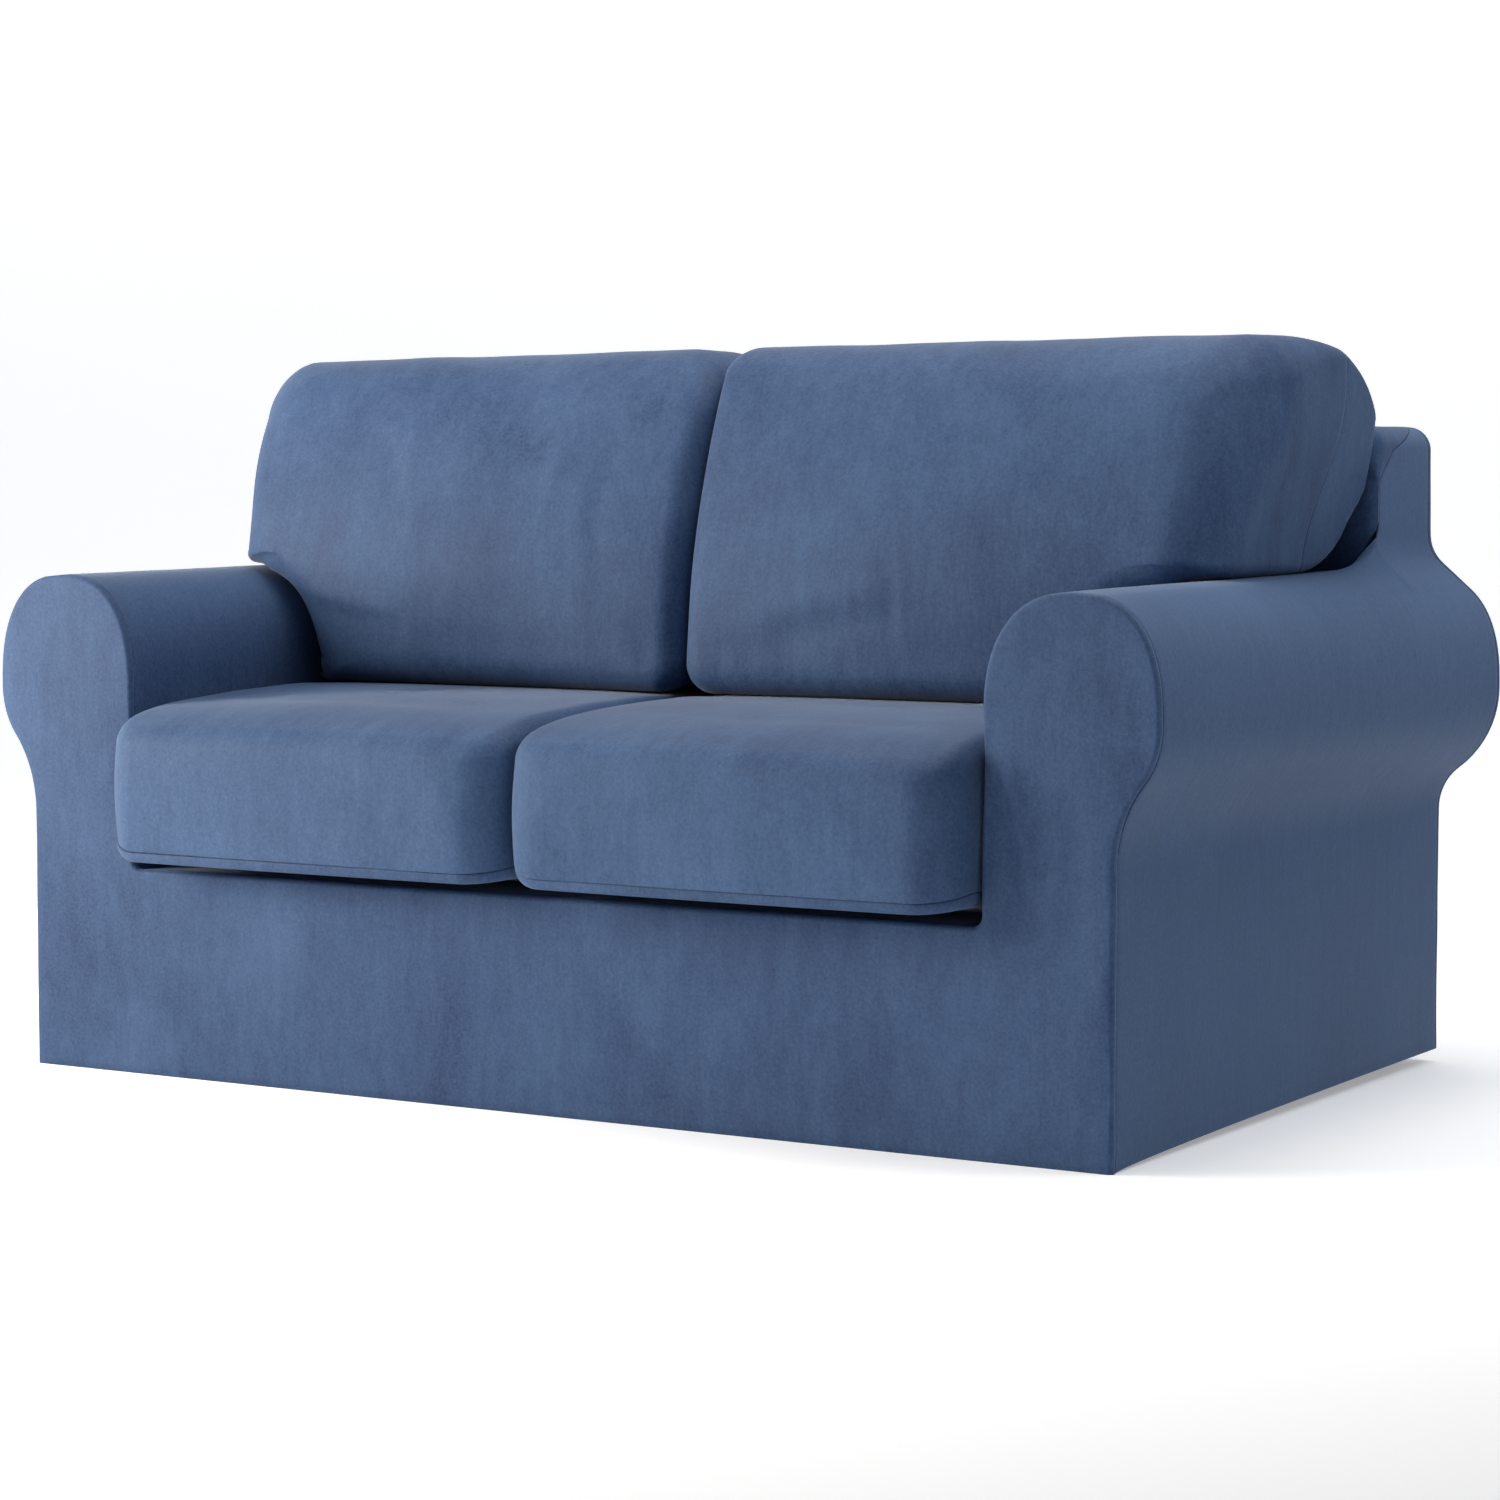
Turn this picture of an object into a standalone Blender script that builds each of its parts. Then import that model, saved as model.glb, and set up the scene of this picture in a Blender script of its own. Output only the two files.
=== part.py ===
"""Slipcover for a two-seat sofa with rolled arms: a stretched velvet base cover, two seat cushion covers
and two back cushion covers, each sewn from panels and left hollow.

Metres, +Z up, -Y is the front, the hem stands on Z = 0.
"""

import math

import bmesh
import bpy
from mathutils import Vector
from mathutils.geometry import delaunay_2d_cdt

# The cloth
CLOTH = 0.003            # thickness of a panel
SEAM = 0.0003            # slit between two sewn panels
SLANT_SEAM = 0.0016      # slit where the seam slants across the cloth
LEAD = 0.003             # straight run of cloth before a seam
MERGE = 0.00001          # points this close are one
VELVET = (0.075, 0.125, 0.215)    # dusty blue
VELVET_ROUGHNESS = 0.85

# The base cover: planes and heights
FRONT_Y = -0.4375        # front of the arms and of the front rail
BACKREST_Y = 0.3175      # front of the back frame
REAR_Y = 0.5125          # outer back
SKIRT_HALF = 0.763       # half width at the floor
HEM_RISE = 0.018         # the hem rides this much higher at the rear
DECK_Z = 0.258           # under the seat cushions
BACK_HALF = 0.7505       # half width of the back frame above the arms
BACK_TOP = 0.812

# The arm's section: a roll on an upright side
ARM_INNER = 0.602        # inner face of the arm, half the seat's width
ROLL_X = 0.7135          # centre of the roll
ROLL_Z = 0.483
ROLL_REACH = (0.103, 0.128)    # from the centre out, at the front and at the rear
ROLL_RISE = (0.1425, 0.151)     # from the centre up, at the front and beside the back frame
ROLL_POWER = (2.45, 2.6)       # 2 is a circle; more is squarer
NECK_RADIUS = (0.150, 0.065)   # hollow under the roll, at the front and at the rear
DECK_FILLET = 0.012      # where the arm's inner face meets the deck
FLARE_ANGLE = 52         # on the roll's outer top: behind this the cloth leaves it for the end of the back frame
RIDGE_ANGLE = 78         # and this is the ridge that climbs there
FLARE_RADIUS = 0.045
SADDLE_START_Y = 0.170   # where the cloth starts to climb to the end of the back frame

# Soft edges of the base cover
FRONT_EDGE = 0.006
REAR_EDGE = (0.012, 0.027)     # at the skirt and roll, and round the back frame
BACKREST_EDGE = 0.020
BACK_CORNER = 0.030      # top corners of the back frame, seen from behind
CORNER_SEAM = 0.085      # how far the inside back wraps round the end of the frame, at its top
CORNER_SEAM_Z = 0.740    # where that wrap ends
CORNER_TIP = 0.7         # the arm panel's tip lies this far along the last step of the frame's top corner

# The seat cushion covers
SEAT_X = (0.0045, 0.5965)      # from the middle gap to the arm
SEAT_Y = (-0.5055, 0.3075)
SEAT_BULGE = 0.004       # of the front, past its corners
SEAT_CORNER = (0.055, 0.050)   # seen from above, front and rear
SEAT_TIGHT = 0.010       # the least corner radius of the inner outlines
SEAT_TOP_EDGE = 0.024
SEAT_LIP = 0.010         # radius of the bottom edge, and height of the border's strip
SEAT_LIFT = 0.016        # the front of the bottom hangs this far above the rail
SEAT_LIFT_Y = (-0.300, -0.425) # where it starts, and where it is full
SEAT_CORNER_REACH = 0.055      # the front's lower corners are rounded off over this much
SEAT_CORNER_LIFT = (0.034, 0.014)      # and lifted this much, at the left-hand and the right-hand end
SEAT_TOP = (     # depth and height along the top, from the front edge to the back cushions
    (-0.5055, 0.436), (-0.460, 0.458), (-0.395, 0.470), (-0.270, 0.478), (-0.130, 0.482), (-0.080, 0.4785),
)
SEAT_SIDE_DROP = 0.004   # the sides lie lower than the crown
SEAT_HEM = 0.080         # width of the border under the cover
SIDE_SWELL = 0.003       # of the sides, halfway up

# The back cushion covers
CUSHION_X = (0.002, 0.749)     # from the middle gap to the outer side
CUSHION_WIDER = {1: 0.000, -1: 0.003}          # added to the outer side, right and left
CUSHION_Z = (0.480, 0.912)
CUSHION_FACE_Y = -0.1150       # of the front face, at the bottom
CUSHION_REAR_Y = 0.3170
CUSHION_LEAN = (0.010, 0.583)  # the face falls back with height, and with height squared
CUSHION_CROWN = 0.022    # swell of the front face
CUSHION_TOP_BEND = (0.110, 0.112)     # where the top starts to fall, and how far it falls at the rear
CUSHION_LOW_BEND = (0.155, 0.115)     # the same for the underside over the arm, which climbs
CUSHION_BESIDE_ARM = 0.004
CUSHION_LEDGE_GAP = 0.0025     # between the arm's top and the cover that lies on it
CUSHION_LEDGE_START = 16       # degrees up the arm's roll, where the hollow that fits it starts
CUSHION_ROUND = {      # of the front face's edges, round the outline
    "gap": 0.032, "bottom": 0.030, "arm": 0.110, "ledge": 0.030, "wing": 0.062, "outer": 0.106, "top": 0.060,
}
CUSHION_CORNERS = {
    1: {"gap top": 0.026, "gap bottom": 0.040, "arm": 0.026, "ledge": 0.018, "outer top": 0.060},
    -1: {"gap top": 0.075, "gap bottom": 0.040, "arm": 0.026, "ledge": 0.018, "outer top": 0.070},
}
CUSHION_TOP_RISE = {1: 0.005, -1: -0.008}      # of the top's outer end, right and left
CUSHION_TOP_RISE_Z = (0.660, 0.200)    # it fades below this height, over this much
CUSHION_WING_TUCK = 0.024      # the wing's lower end is drawn in this much
CUSHION_WING_Z = (0.640, 0.190)        # up to here, and over this much less and less
CORNER_SHRINK = 0.030    # the corners of the front face are this much tighter
CUSHION_TIGHT = 0.012    # the outer corners from the seam on, and the least corner of the front face
CUSHION_SEAM_Y = (0.149, 0.217)    # of the seam on the outer side, low and high
CUSHION_SEAM_Z = 0.200   # height over which the seam slants
CUSHION_HEM = (0.050, 0.120)   # cloth turned under at the bottom, front and rear
CUSHION_UNDER_Z = 0.010        # the part of the outline this near its bottom faces down
CUSHION_REAR_EDGE = 0.007      # rounding of the rear at the sides and bottom


def smooth(value):
    """0 below 0, 1 above 1, and a soft step between."""
    value = min(max(value, 0.0), 1.0)
    return value * value * (3 - 2 * value)


def mix(low, high, share):
    return low + (high - low) * share


def steps(low, high, count):
    """count + 1 even values from low to high."""
    return [mix(low, high, i / count) for i in range(count + 1)]


def arc(centre, radii, start, end, count):
    """Points (x, z) on an ellipse, from start to end in degrees."""
    return [
        (centre[0] + radii[0] * math.cos(math.radians(a)), centre[1] + radii[1] * math.sin(math.radians(a)))
        for a in steps(start, end, count)
    ]


def normals(path, closed=False):
    """Unit normals on the right-hand side of a path, which is its outer side when it runs anticlockwise."""
    count = len(path)
    found = []
    for i in range(count):
        before = path[i - 1] if closed or i else path[0]
        after = path[(i + 1) % count] if closed or i < count - 1 else path[-1]
        along = Vector((after[0] - before[0], after[1] - before[1])).normalized()
        found.append((along.y, -along.x))
    return found


def inset(path, normal, depths):
    """The path moved inwards by each point's own depth."""
    return [(p[0] - n[0] * d, p[1] - n[1] * d) for p, n, d in zip(path, normal, depths)]


# Building a panel -----------------------------------------------------------------------------------------

def add_strip(bm, rows, closed=False):
    """Quads between rows of points; closed joins each row's end to its start."""
    grid = [[bm.verts.new(point) for point in row] for row in rows]
    for lower, upper in zip(grid, grid[1:]):
        last = len(lower) if closed else len(lower) - 1
        for i in range(last):
            j = (i + 1) % len(lower)
            bm.faces.new((lower[i], lower[j], upper[j], upper[i]))


def inside(point, loop):
    """Whether a point lies in a closed loop of points."""
    found = False
    for (ax, ay), (bx, by) in zip(loop, loop[1:] + loop[:1]):
        if (ay > point[1]) != (by > point[1]) and point[0] < ax + (point[1] - ay) * (bx - ax) / (by - ay):
            found = not found
    return found


def add_fill(bm, loop, spacing, place):
    """Triangles inside a flat loop, with inner points every spacing; place puts a flat point in space."""
    low = [min(p[k] for p in loop) for k in (0, 1)]
    high = [max(p[k] for p in loop) for k in (0, 1)]
    counts = [max(1, round((high[k] - low[k]) / spacing)) for k in (0, 1)]
    inner = [
        (x, y)
        for x in steps(low[0], high[0], counts[0])[1:-1]
        for y in steps(low[1], high[1], counts[1])[1:-1]
        if inside((x, y), loop) and min(math.dist((x, y), p) for p in loop) > 0.6 * spacing
    ]
    flat = [Vector(p) for p in loop + inner]
    edges = [(i, (i + 1) % len(loop)) for i in range(len(loop))]
    points, _, faces, _, _, _ = delaunay_2d_cdt(flat, edges, [], 1, 0.0)
    corners = [bm.verts.new(place(p.x, p.y)) for p in points]
    for face in faces:
        bm.faces.new([corners[i] for i in face])


def finish_panel(bm, name, hollow, finish, side=1):
    """Joins a panel's strips into one surface facing away from the hollow, and thickens it inwards."""
    bmesh.ops.remove_doubles(bm, verts=bm.verts[:], dist=MERGE)
    bmesh.ops.dissolve_degenerate(bm, dist=MERGE, edges=bm.edges[:])
    for vert in bm.verts:
        vert.co.x *= side
    bmesh.ops.recalc_face_normals(bm, faces=bm.faces[:])
    centre = Vector((hollow[0] * side, hollow[1], hollow[2]))
    outward = sum((f.calc_center_median() - centre).dot(f.normal) * f.calc_area() for f in bm.faces)
    if outward < 0:
        bmesh.ops.reverse_faces(bm, faces=bm.faces[:])
    mesh = bpy.data.meshes.new(name)
    bm.to_mesh(mesh)
    bm.free()
    mesh.shade_smooth()
    mesh.materials.append(finish)
    panel = bpy.data.objects.new(name, mesh)
    bpy.context.collection.objects.link(panel)
    thickness = panel.modifiers.new("cloth", "SOLIDIFY")
    thickness.thickness = CLOTH
    thickness.offset = -1
    return panel


def velvet(name, colour, roughness):
    finish = bpy.data.materials.new(name)
    finish.use_nodes = True
    shader = finish.node_tree.nodes["Principled BSDF"]
    shader.inputs["Base Color"].default_value = (*colour, 1)
    shader.inputs["Roughness"].default_value = roughness
    shader.inputs["Metallic"].default_value = 0
    finish.diffuse_color = (*colour, 1)
    return finish


# The base cover -------------------------------------------------------------------------------------------

def roll_values(y):
    """Reach, rise and squareness of the roll at a depth."""
    reach = mix(*ROLL_REACH, (y - FRONT_Y) / (REAR_Y - FRONT_Y))
    climb = min(1.0, (y - FRONT_Y) / (BACKREST_Y - FRONT_Y))
    return reach, mix(*ROLL_RISE, climb), mix(*ROLL_POWER, climb)


def roll_arc(y, half_width, start, end, count):
    """Part of the roll's upper half, from start to end in degrees."""
    _, rise, power = roll_values(y)
    points = []
    for angle in steps(start, end, count):
        across = math.cos(math.radians(angle))
        up = math.sin(math.radians(angle))
        x = math.copysign(abs(across) ** (2 / power), across) if abs(across) > MERGE else 0.0
        points.append((ROLL_X + half_width * x, ROLL_Z + rise * max(up, 0.0) ** (2 / power)))
    return points


def flare(count):
    """Behind the frame's front: from the roll's outer top in a hollow curve up to the frame's upright end."""
    before, start, after = roll_arc(REAR_Y, ROLL_REACH[1], FLARE_ANGLE - 1, FLARE_ANGLE + 1, 2)
    slope = math.atan2(after[1] - before[1], before[0] - after[0])
    turn = math.pi / 2 - slope
    straight = (start[0] - BACK_HALF - FLARE_RADIUS * (1 - math.cos(turn))) / math.cos(slope)
    height = start[1] + straight * math.sin(slope) + FLARE_RADIUS * math.sin(turn)
    turned = 180 + math.degrees(turn)
    bow = arc((BACK_HALF + FLARE_RADIUS, height), (FLARE_RADIUS, FLARE_RADIUS), turned, 180, count - 1)
    return [start] + bow


def saddle(y):
    """0 on the plain arm, 1 from the frame's front on."""
    end = BACKREST_Y - 2 * LEAD
    share = min(max((y - SADDLE_START_Y) / (end - SADDLE_START_Y), 0.0), 1.0)
    return 1 - math.sqrt(1 - share * share)


def hem_z(y):
    """Height of the hem, which rides up towards the rear."""
    return HEM_RISE * math.sqrt(max(0.0, y - FRONT_Y - FRONT_EDGE) / (REAR_Y - FRONT_Y))


def outer_side(y):
    """The arm's section from the hem up its outer side to the ridge that climbs to the frame's end."""
    reach = roll_values(y)[0]
    hollow = mix(*NECK_RADIUS, (y - FRONT_Y) / (REAR_Y - FRONT_Y))
    neck_x = SKIRT_HALF + hollow
    neck_z = ROLL_Z - math.sqrt((reach + hollow) ** 2 - (neck_x - ROLL_X) ** 2)
    turn = math.degrees(math.atan2(ROLL_Z - neck_z, neck_x - ROLL_X))
    side = [(SKIRT_HALF, z) for z in steps(hem_z(y), neck_z, 3)]
    neck = arc((neck_x, neck_z), (hollow, hollow), 180, 180 - turn, 4)
    under = arc((ROLL_X, ROLL_Z), (reach, reach), -turn, 0, 3)
    over = roll_arc(y, reach, 0, FLARE_ANGLE, 5)
    low = roll_arc(y, reach, FLARE_ANGLE, RIDGE_ANGLE, 4)
    share = saddle(y)
    ridge = [(mix(a[0], b[0], share), mix(a[1], b[1], share)) for a, b in zip(low, flare(4))]
    return side + neck[1:] + under[1:] + over[1:] + ridge[1:]


def over_arm(y):
    """The section from the ridge over the arm and down its inner face to the deck."""
    inner = roll_arc(y, ROLL_X - ARM_INNER, 90, 180, 7)
    face = [(ARM_INNER, z) for z in steps(ROLL_Z, DECK_Z + DECK_FILLET, 2)]
    foot = arc((ARM_INNER - DECK_FILLET, DECK_Z + DECK_FILLET), (DECK_FILLET, DECK_FILLET), 0, -90, 3)
    return [outer_side(y)[-1]] + inner + face[1:] + foot[1:]


def frame_end():
    """The section from the top of the flare up the end of the back frame and round its top corner."""
    start = flare(4)[-1][1]
    upright = [(BACK_HALF, z) for z in steps(start, CORNER_SEAM_Z, 2)[:-1]]
    upright += [(BACK_HALF, z) for z in steps(CORNER_SEAM_Z, BACK_TOP - BACK_CORNER, 2)]
    corner = arc((BACK_HALF - BACK_CORNER, BACK_TOP - BACK_CORNER), (BACK_CORNER, BACK_CORNER), 0, 90, 6)
    return upright, corner[1:]


def rear_radius(z):
    return mix(*REAR_EDGE, smooth((z - ROLL_Z - 0.09) / 0.12))


def rear_seam_y(z):
    """Where the outer back's edge ends and the side and top panels begin."""
    return REAR_Y - rear_radius(z) - LEAD


def backrest_edge():
    """Along the back frame's end and top: points, the radius of the front edge, and how far back the seam lies."""
    upright, corner = frame_end()
    path = upright + corner
    radii, seams = [], []
    for i, (x, z) in enumerate(path):
        grown = min(max((z - CORNER_SEAM_Z) / (BACK_TOP - BACK_CORNER - CORNER_SEAM_Z), 0.0), 1.0)
        radii.append(BACKREST_EDGE * grown)
        wrap = CORNER_SEAM * min(max((z - CORNER_SEAM_Z) / (BACK_TOP - CORNER_SEAM_Z), 0.0), 1.0)
        turned = max(0, i - len(upright) + 1) / len(corner)
        seams.append(mix(BACKREST_Y + wrap, rear_seam_y(z), turned))
    return path, radii, seams


def rim_rows(path, normal, radii, wall_y, towards, rounds=3):
    """Rows round a soft edge: from the flat face at wall_y out to the path, then a lead to the seam."""
    rows = []
    for turn in steps(0, 90, rounds):
        inward = 1 - math.sin(math.radians(turn))
        back = 1 - math.cos(math.radians(turn))
        moved = inset(path, normal, [r * inward for r in radii])
        rows.append([(x, wall_y + towards * r * back, z) for (x, z), r in zip(moved, radii)])
    rows.append([(x, wall_y + towards * (r + LEAD), z) for (x, z), r in zip(path, radii)])
    return rows


def mirrored(path):
    return [(-x, z) for x, z in reversed(path)]


def front_panel(finish):
    """Both arm fronts and the front rail, cut as one, with a soft edge that wraps back to the seams."""
    half = outer_side(FRONT_Y) + over_arm(FRONT_Y)[1:]
    foot = half[-1][0]
    deck = [(x, DECK_Z) for x in steps(foot, -foot, 6)]
    path = half + deck[1:-1] + mirrored(half)
    normal = normals(path)
    radii = [FRONT_EDGE] * len(path)
    bm = bmesh.new()
    add_strip(bm, rim_rows(path, normal, radii, FRONT_Y, 1))
    face = inset(path, normal, radii)
    hem = [(x, 0.0) for x in steps(face[-1][0], face[0][0], 8)]
    add_fill(bm, face + hem[1:-1], 0.12, lambda x, z: (x, FRONT_Y, z))
    return finish_panel(bm, "front_panel", (0, 0, 0.1), finish)


def arm_panel(side, finish):
    """One piece: up the outer side, over the roll, down to the deck, and behind that up the back frame's end."""
    bm = bmesh.new()
    front = FRONT_Y + FRONT_EDGE + LEAD + SEAM
    split = BACKREST_Y - SEAM
    end = BACKREST_Y - 2 * LEAD
    climb = [mix(SADDLE_START_Y, end, share) for share in (0, 0.32, 0.56, 0.74, 0.88, 0.95, 1)]
    depths = [front, front + 0.010, -0.20, 0.02] + climb + [split]
    add_strip(bm, [[(x, y, z) for x, z in outer_side(y) + over_arm(y)[1:]] for y in depths])
    outer = outer_side(REAR_Y)
    path, _, seams = backrest_edge()
    columns = [(p, split) for p in outer]
    columns += [(p, max(s, BACKREST_Y + CLOTH) + SLANT_SEAM) for p, s in zip(path[1:-1], seams[1:-1])]
    rows = []
    for share in (0, 0.12, 0.5, 0.9, 1):
        row = []
        for i, ((x, z), start) in enumerate(columns):
            y = mix(start, rear_seam_y(z) - SEAM, share)
            if i < len(outer):
                x, z = outer_side(y)[i]
            row.append((x, y, z))
        rows.append(row)
    add_strip(bm, rows)
    last, top = path[-2], path[-1]
    x, z = mix(last[0], top[0], CORNER_TIP), mix(last[1], top[1], CORNER_TIP)
    y = (mix(seams[-2], seams[-1], CORNER_TIP) + rear_seam_y(z)) / 2
    point = bm.verts.new((x, y, z))
    edge = [bm.verts.new(row[-1]) for row in rows]
    for first, second in zip(edge, edge[1:]):
        bm.faces.new((first, point, second))
    name = "arm_panel_right" if side > 0 else "arm_panel_left"
    return finish_panel(bm, name, (ROLL_X, 0, 0.3), finish, side)


def inside_back_panel(finish):
    """The front of the back frame, from the deck up between and over the arms, across the top, round the ends."""
    arm = over_arm(BACKREST_Y)
    under_arm = inset(arm, normals(arm), [CLOTH] * len(arm))
    path, radii, seams = backrest_edge()
    tuck = inset(path, normals(path), [CLOTH + SEAM] * len(path))[1]
    low = [(0.0, DECK_Z - CLOTH), (under_arm[-1][0], DECK_Z - CLOTH)]
    low += under_arm[-2:0:-1] + [tuck]
    top = [(x, BACK_TOP) for x in steps(path[-1][0], 0, 4)]
    path = path[2:] + top[1:]
    radii = radii[2:] + [BACKREST_EDGE] * (len(top) - 1)
    seams = seams[2:] + [rear_seam_y(BACK_TOP)] * (len(top) - 1)
    whole = path + mirrored(path)[1:]
    radii = radii + radii[-2::-1]
    seams = seams + seams[-2::-1]
    normal = normals(whole)
    bm = bmesh.new()
    rows = rim_rows(whole, normal, radii, BACKREST_Y, 1)[:-1]
    for share in (0.5, 1):
        rows.append([
            (x, mix(BACKREST_Y + r, max(s - SLANT_SEAM, BACKREST_Y + r), share), z)
            for (x, z), r, s in zip(whole, radii, seams)
        ])
    add_strip(bm, rows)
    face = inset(whole, normal, radii)
    loop = low + face + mirrored(low)[:-1]
    add_fill(bm, loop, 0.11, lambda x, z: (x, BACKREST_Y, z))
    return finish_panel(bm, "inside_back_panel", (0, 0.45, 0.4), finish)


def outer_back_panel(finish):
    """The outside of the back with both roll ends, soft at its edges."""
    upright, corner = frame_end()
    half = outer_side(REAR_Y) + upright[1:] + corner
    top = [(x, BACK_TOP) for x in steps(half[-1][0], -half[-1][0], 6)]
    path = half + top[1:-1] + mirrored(half)
    normal = normals(path)
    radii = [rear_radius(z) for _, z in path]
    bm = bmesh.new()
    add_strip(bm, rim_rows(path, normal, radii, REAR_Y, -1))
    face = inset(path, normal, radii)
    hem = [(x, hem_z(REAR_Y)) for x in steps(face[-1][0], face[0][0], 8)]
    add_fill(bm, face + hem[1:-1], 0.12, lambda x, z: (x, REAR_Y, z))
    return finish_panel(bm, "outer_back_panel", (0, 0.3, 0.4), finish)


def seat_deck_panel(finish):
    half = ARM_INNER - DECK_FILLET - SEAM
    front = FRONT_Y + FRONT_EDGE + LEAD + SEAM
    bm = bmesh.new()
    depths = steps(front, BACKREST_Y - SEAM, 4)
    add_strip(bm, [[(x, y, DECK_Z) for x in steps(-half, half, 6)] for y in depths])
    return finish_panel(bm, "seat_deck_panel", (0, 0, 0), finish)


# The seat cushion covers ----------------------------------------------------------------------------------

def seat_plan(inward=0.0):
    """The cover's outline from above, anticlockwise from the front corner at the gap, or a smaller one inside."""
    x0, x1 = SEAT_X[0] + inward, SEAT_X[1] - inward
    y0, y1 = SEAT_Y[0] + inward, SEAT_Y[1] - inward
    front, rear = (max(radius - inward, SEAT_TIGHT) for radius in SEAT_CORNER)
    path = [(x, y0) for x in steps(x0 + front, x1 - front, 5)[1:-1]]
    path += arc((x1 - front, y0 + front), (front, front), -90, 0, 4)
    path += [(x1, y) for y in steps(y0 + front, y1 - rear, 5)[1:-1]]
    path += arc((x1 - rear, y1 - rear), (rear, rear), 0, 90, 3)
    path += [(x, y1) for x in steps(x1 - rear, x0 + rear, 4)[1:-1]]
    path += arc((x0 + rear, y1 - rear), (rear, rear), 90, 180, 3)
    path += [(x0, y) for y in steps(y1 - rear, y0 + front, 5)[1:-1]]
    path += arc((x0 + front, y0 + front), (front, front), 180, 270, 4)
    middle, half = (x0 + x1) / 2, (x1 - x0) / 2
    swollen = []
    for x, y in path:
        forward = smooth((y0 + front - y) / front) * SEAT_BULGE
        swollen.append((x, y - forward * (1 - ((x - middle) / half) ** 2)))
    return swollen


def seat_top(x, y):
    """Height of the crowned top."""
    across = (2 * x - SEAT_X[0] - SEAT_X[1]) / (SEAT_X[1] - SEAT_X[0])
    height = SEAT_TOP[-1][1]
    for (y0, z0), (y1, z1) in zip(SEAT_TOP[::-1][1:], SEAT_TOP[::-1]):
        if y < y1:
            height = mix(z0, z1, max(0.0, (y - y0) / (y1 - y0)))
    return height - SEAT_SIDE_DROP * across ** 4


def seat_bottom(x, y, side):
    """Height of the bottom, whose front edge curls up, and most at its two corners."""
    low, high = SEAT_LIFT_Y
    across = (2 * x - SEAT_X[0] - SEAT_X[1]) / 2
    past = max(0.0, abs(across) - (SEAT_X[1] - SEAT_X[0]) / 2 + SEAT_CORNER_REACH) / SEAT_CORNER_REACH
    corner = SEAT_CORNER_LIFT[0 if across * side < 0 else 1] * (1 - math.sqrt(1 - min(past, 1.0) ** 2))
    return DECK_Z + SEAM + (SEAT_LIFT + corner) * smooth((low - y) / (low - high))


def seat_cover(side, top_finish, border_finish):
    """The fitted top with its four drops, and the border sewn on below it, which leaves the underside open."""
    ending = "right" if side > 0 else "left"
    seam = SEAT_LIP + LEAD
    rows = []
    for share in (0, 0.08, 0.5, 1):
        plan = seat_plan(-SIDE_SWELL * math.sin(math.pi * share))
        rows.append([
            (x, y, mix(seat_bottom(x, y, side) + seam + SEAM, seat_top(x, y) - SEAT_TOP_EDGE, share))
            for x, y in plan
        ])
    for turn in (30, 60, 90):
        down = SEAT_TOP_EDGE * (1 - math.sin(math.radians(turn)))
        plan = seat_plan(SEAT_TOP_EDGE * (1 - math.cos(math.radians(turn))))
        rows.append([(x, y, seat_top(x, y) - down) for x, y in plan])
    bm = bmesh.new()
    add_strip(bm, rows, closed=True)
    add_fill(bm, seat_plan(SEAT_TOP_EDGE), 0.10, lambda x, y: (x, y, seat_top(x, y)))
    middle = (sum(SEAT_X) / 2, sum(SEAT_Y) / 2, 0.35)
    finish_panel(bm, "seat_cover_top_" + ending, middle, top_finish, side)

    rows = [[(x, y, seat_bottom(x, y, side) + seam) for x, y in seat_plan()]]
    for turn in (0, 30, 60, 90):
        down = SEAT_LIP * (1 - math.sin(math.radians(turn)))
        plan = seat_plan(SEAT_LIP * (1 - math.cos(math.radians(turn))))
        rows.append([(x, y, seat_bottom(x, y, side) + down) for x, y in plan])
    for depth in (0.5 * (SEAT_LIP + SEAT_HEM), SEAT_HEM):
        rows.append([(x, y, seat_bottom(x, y, side)) for x, y in seat_plan(depth)])
    bm = bmesh.new()
    add_strip(bm, rows, closed=True)
    finish_panel(bm, "seat_cover_border_" + ending, middle, border_finish, side)


# The back cushion covers ----------------------------------------------------------------------------------

def bend(y, start, height):
    """0 before the start, then a quarter of an ellipse that reaches its height past the rear."""
    share = max(0.0, y - start) / (CUSHION_REAR_Y + 0.002 - start)
    return height * (1 - math.sqrt(max(0.0, 1 - share * share)))


def arm_ledge(y):
    """Height of the underside where the cover lies on the arm."""
    return ROLL_Z + roll_values(y)[1] + CUSHION_LEDGE_GAP


def over_roll(y, beside, above, end_x, count):
    """The hollow of the underside that fits the arm's roll, from beside it to over its top."""
    outer, rise, power = roll_values(y)
    rise += bend(y, *CUSHION_LOW_BEND)
    inner = ROLL_X - ARM_INNER
    share = (end_x - ROLL_X) / ((outer if end_x > ROLL_X else inner) + above)
    last = math.acos(-math.copysign(abs(share) ** (power / 2), share))
    points = []
    for angle in steps(math.radians(CUSHION_LEDGE_START), last, count):
        gap = mix(beside, above, angle / last)
        lean = math.cos(angle)
        half = (inner if lean > 0 else outer) + gap
        across = math.copysign(abs(lean) ** (2 / power), lean)
        points.append((ROLL_X - half * across, ROLL_Z + (rise + gap) * math.sin(angle) ** (2 / power)))
    return points


def settle(point, side):
    """The filled cover settles: its top rises or sinks towards the outer end."""
    x, y, z = point
    low, over = CUSHION_TOP_RISE_Z
    rise = CUSHION_TOP_RISE[side] * x / CUSHION_X[1] * smooth((z - low) / over)
    return x, y, z + rise


def wing_low(z):
    """1 where the outer side is drawn in over the arm, 0 higher up."""
    low, over = CUSHION_WING_Z
    return 1 - smooth((z - low) / over)


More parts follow.
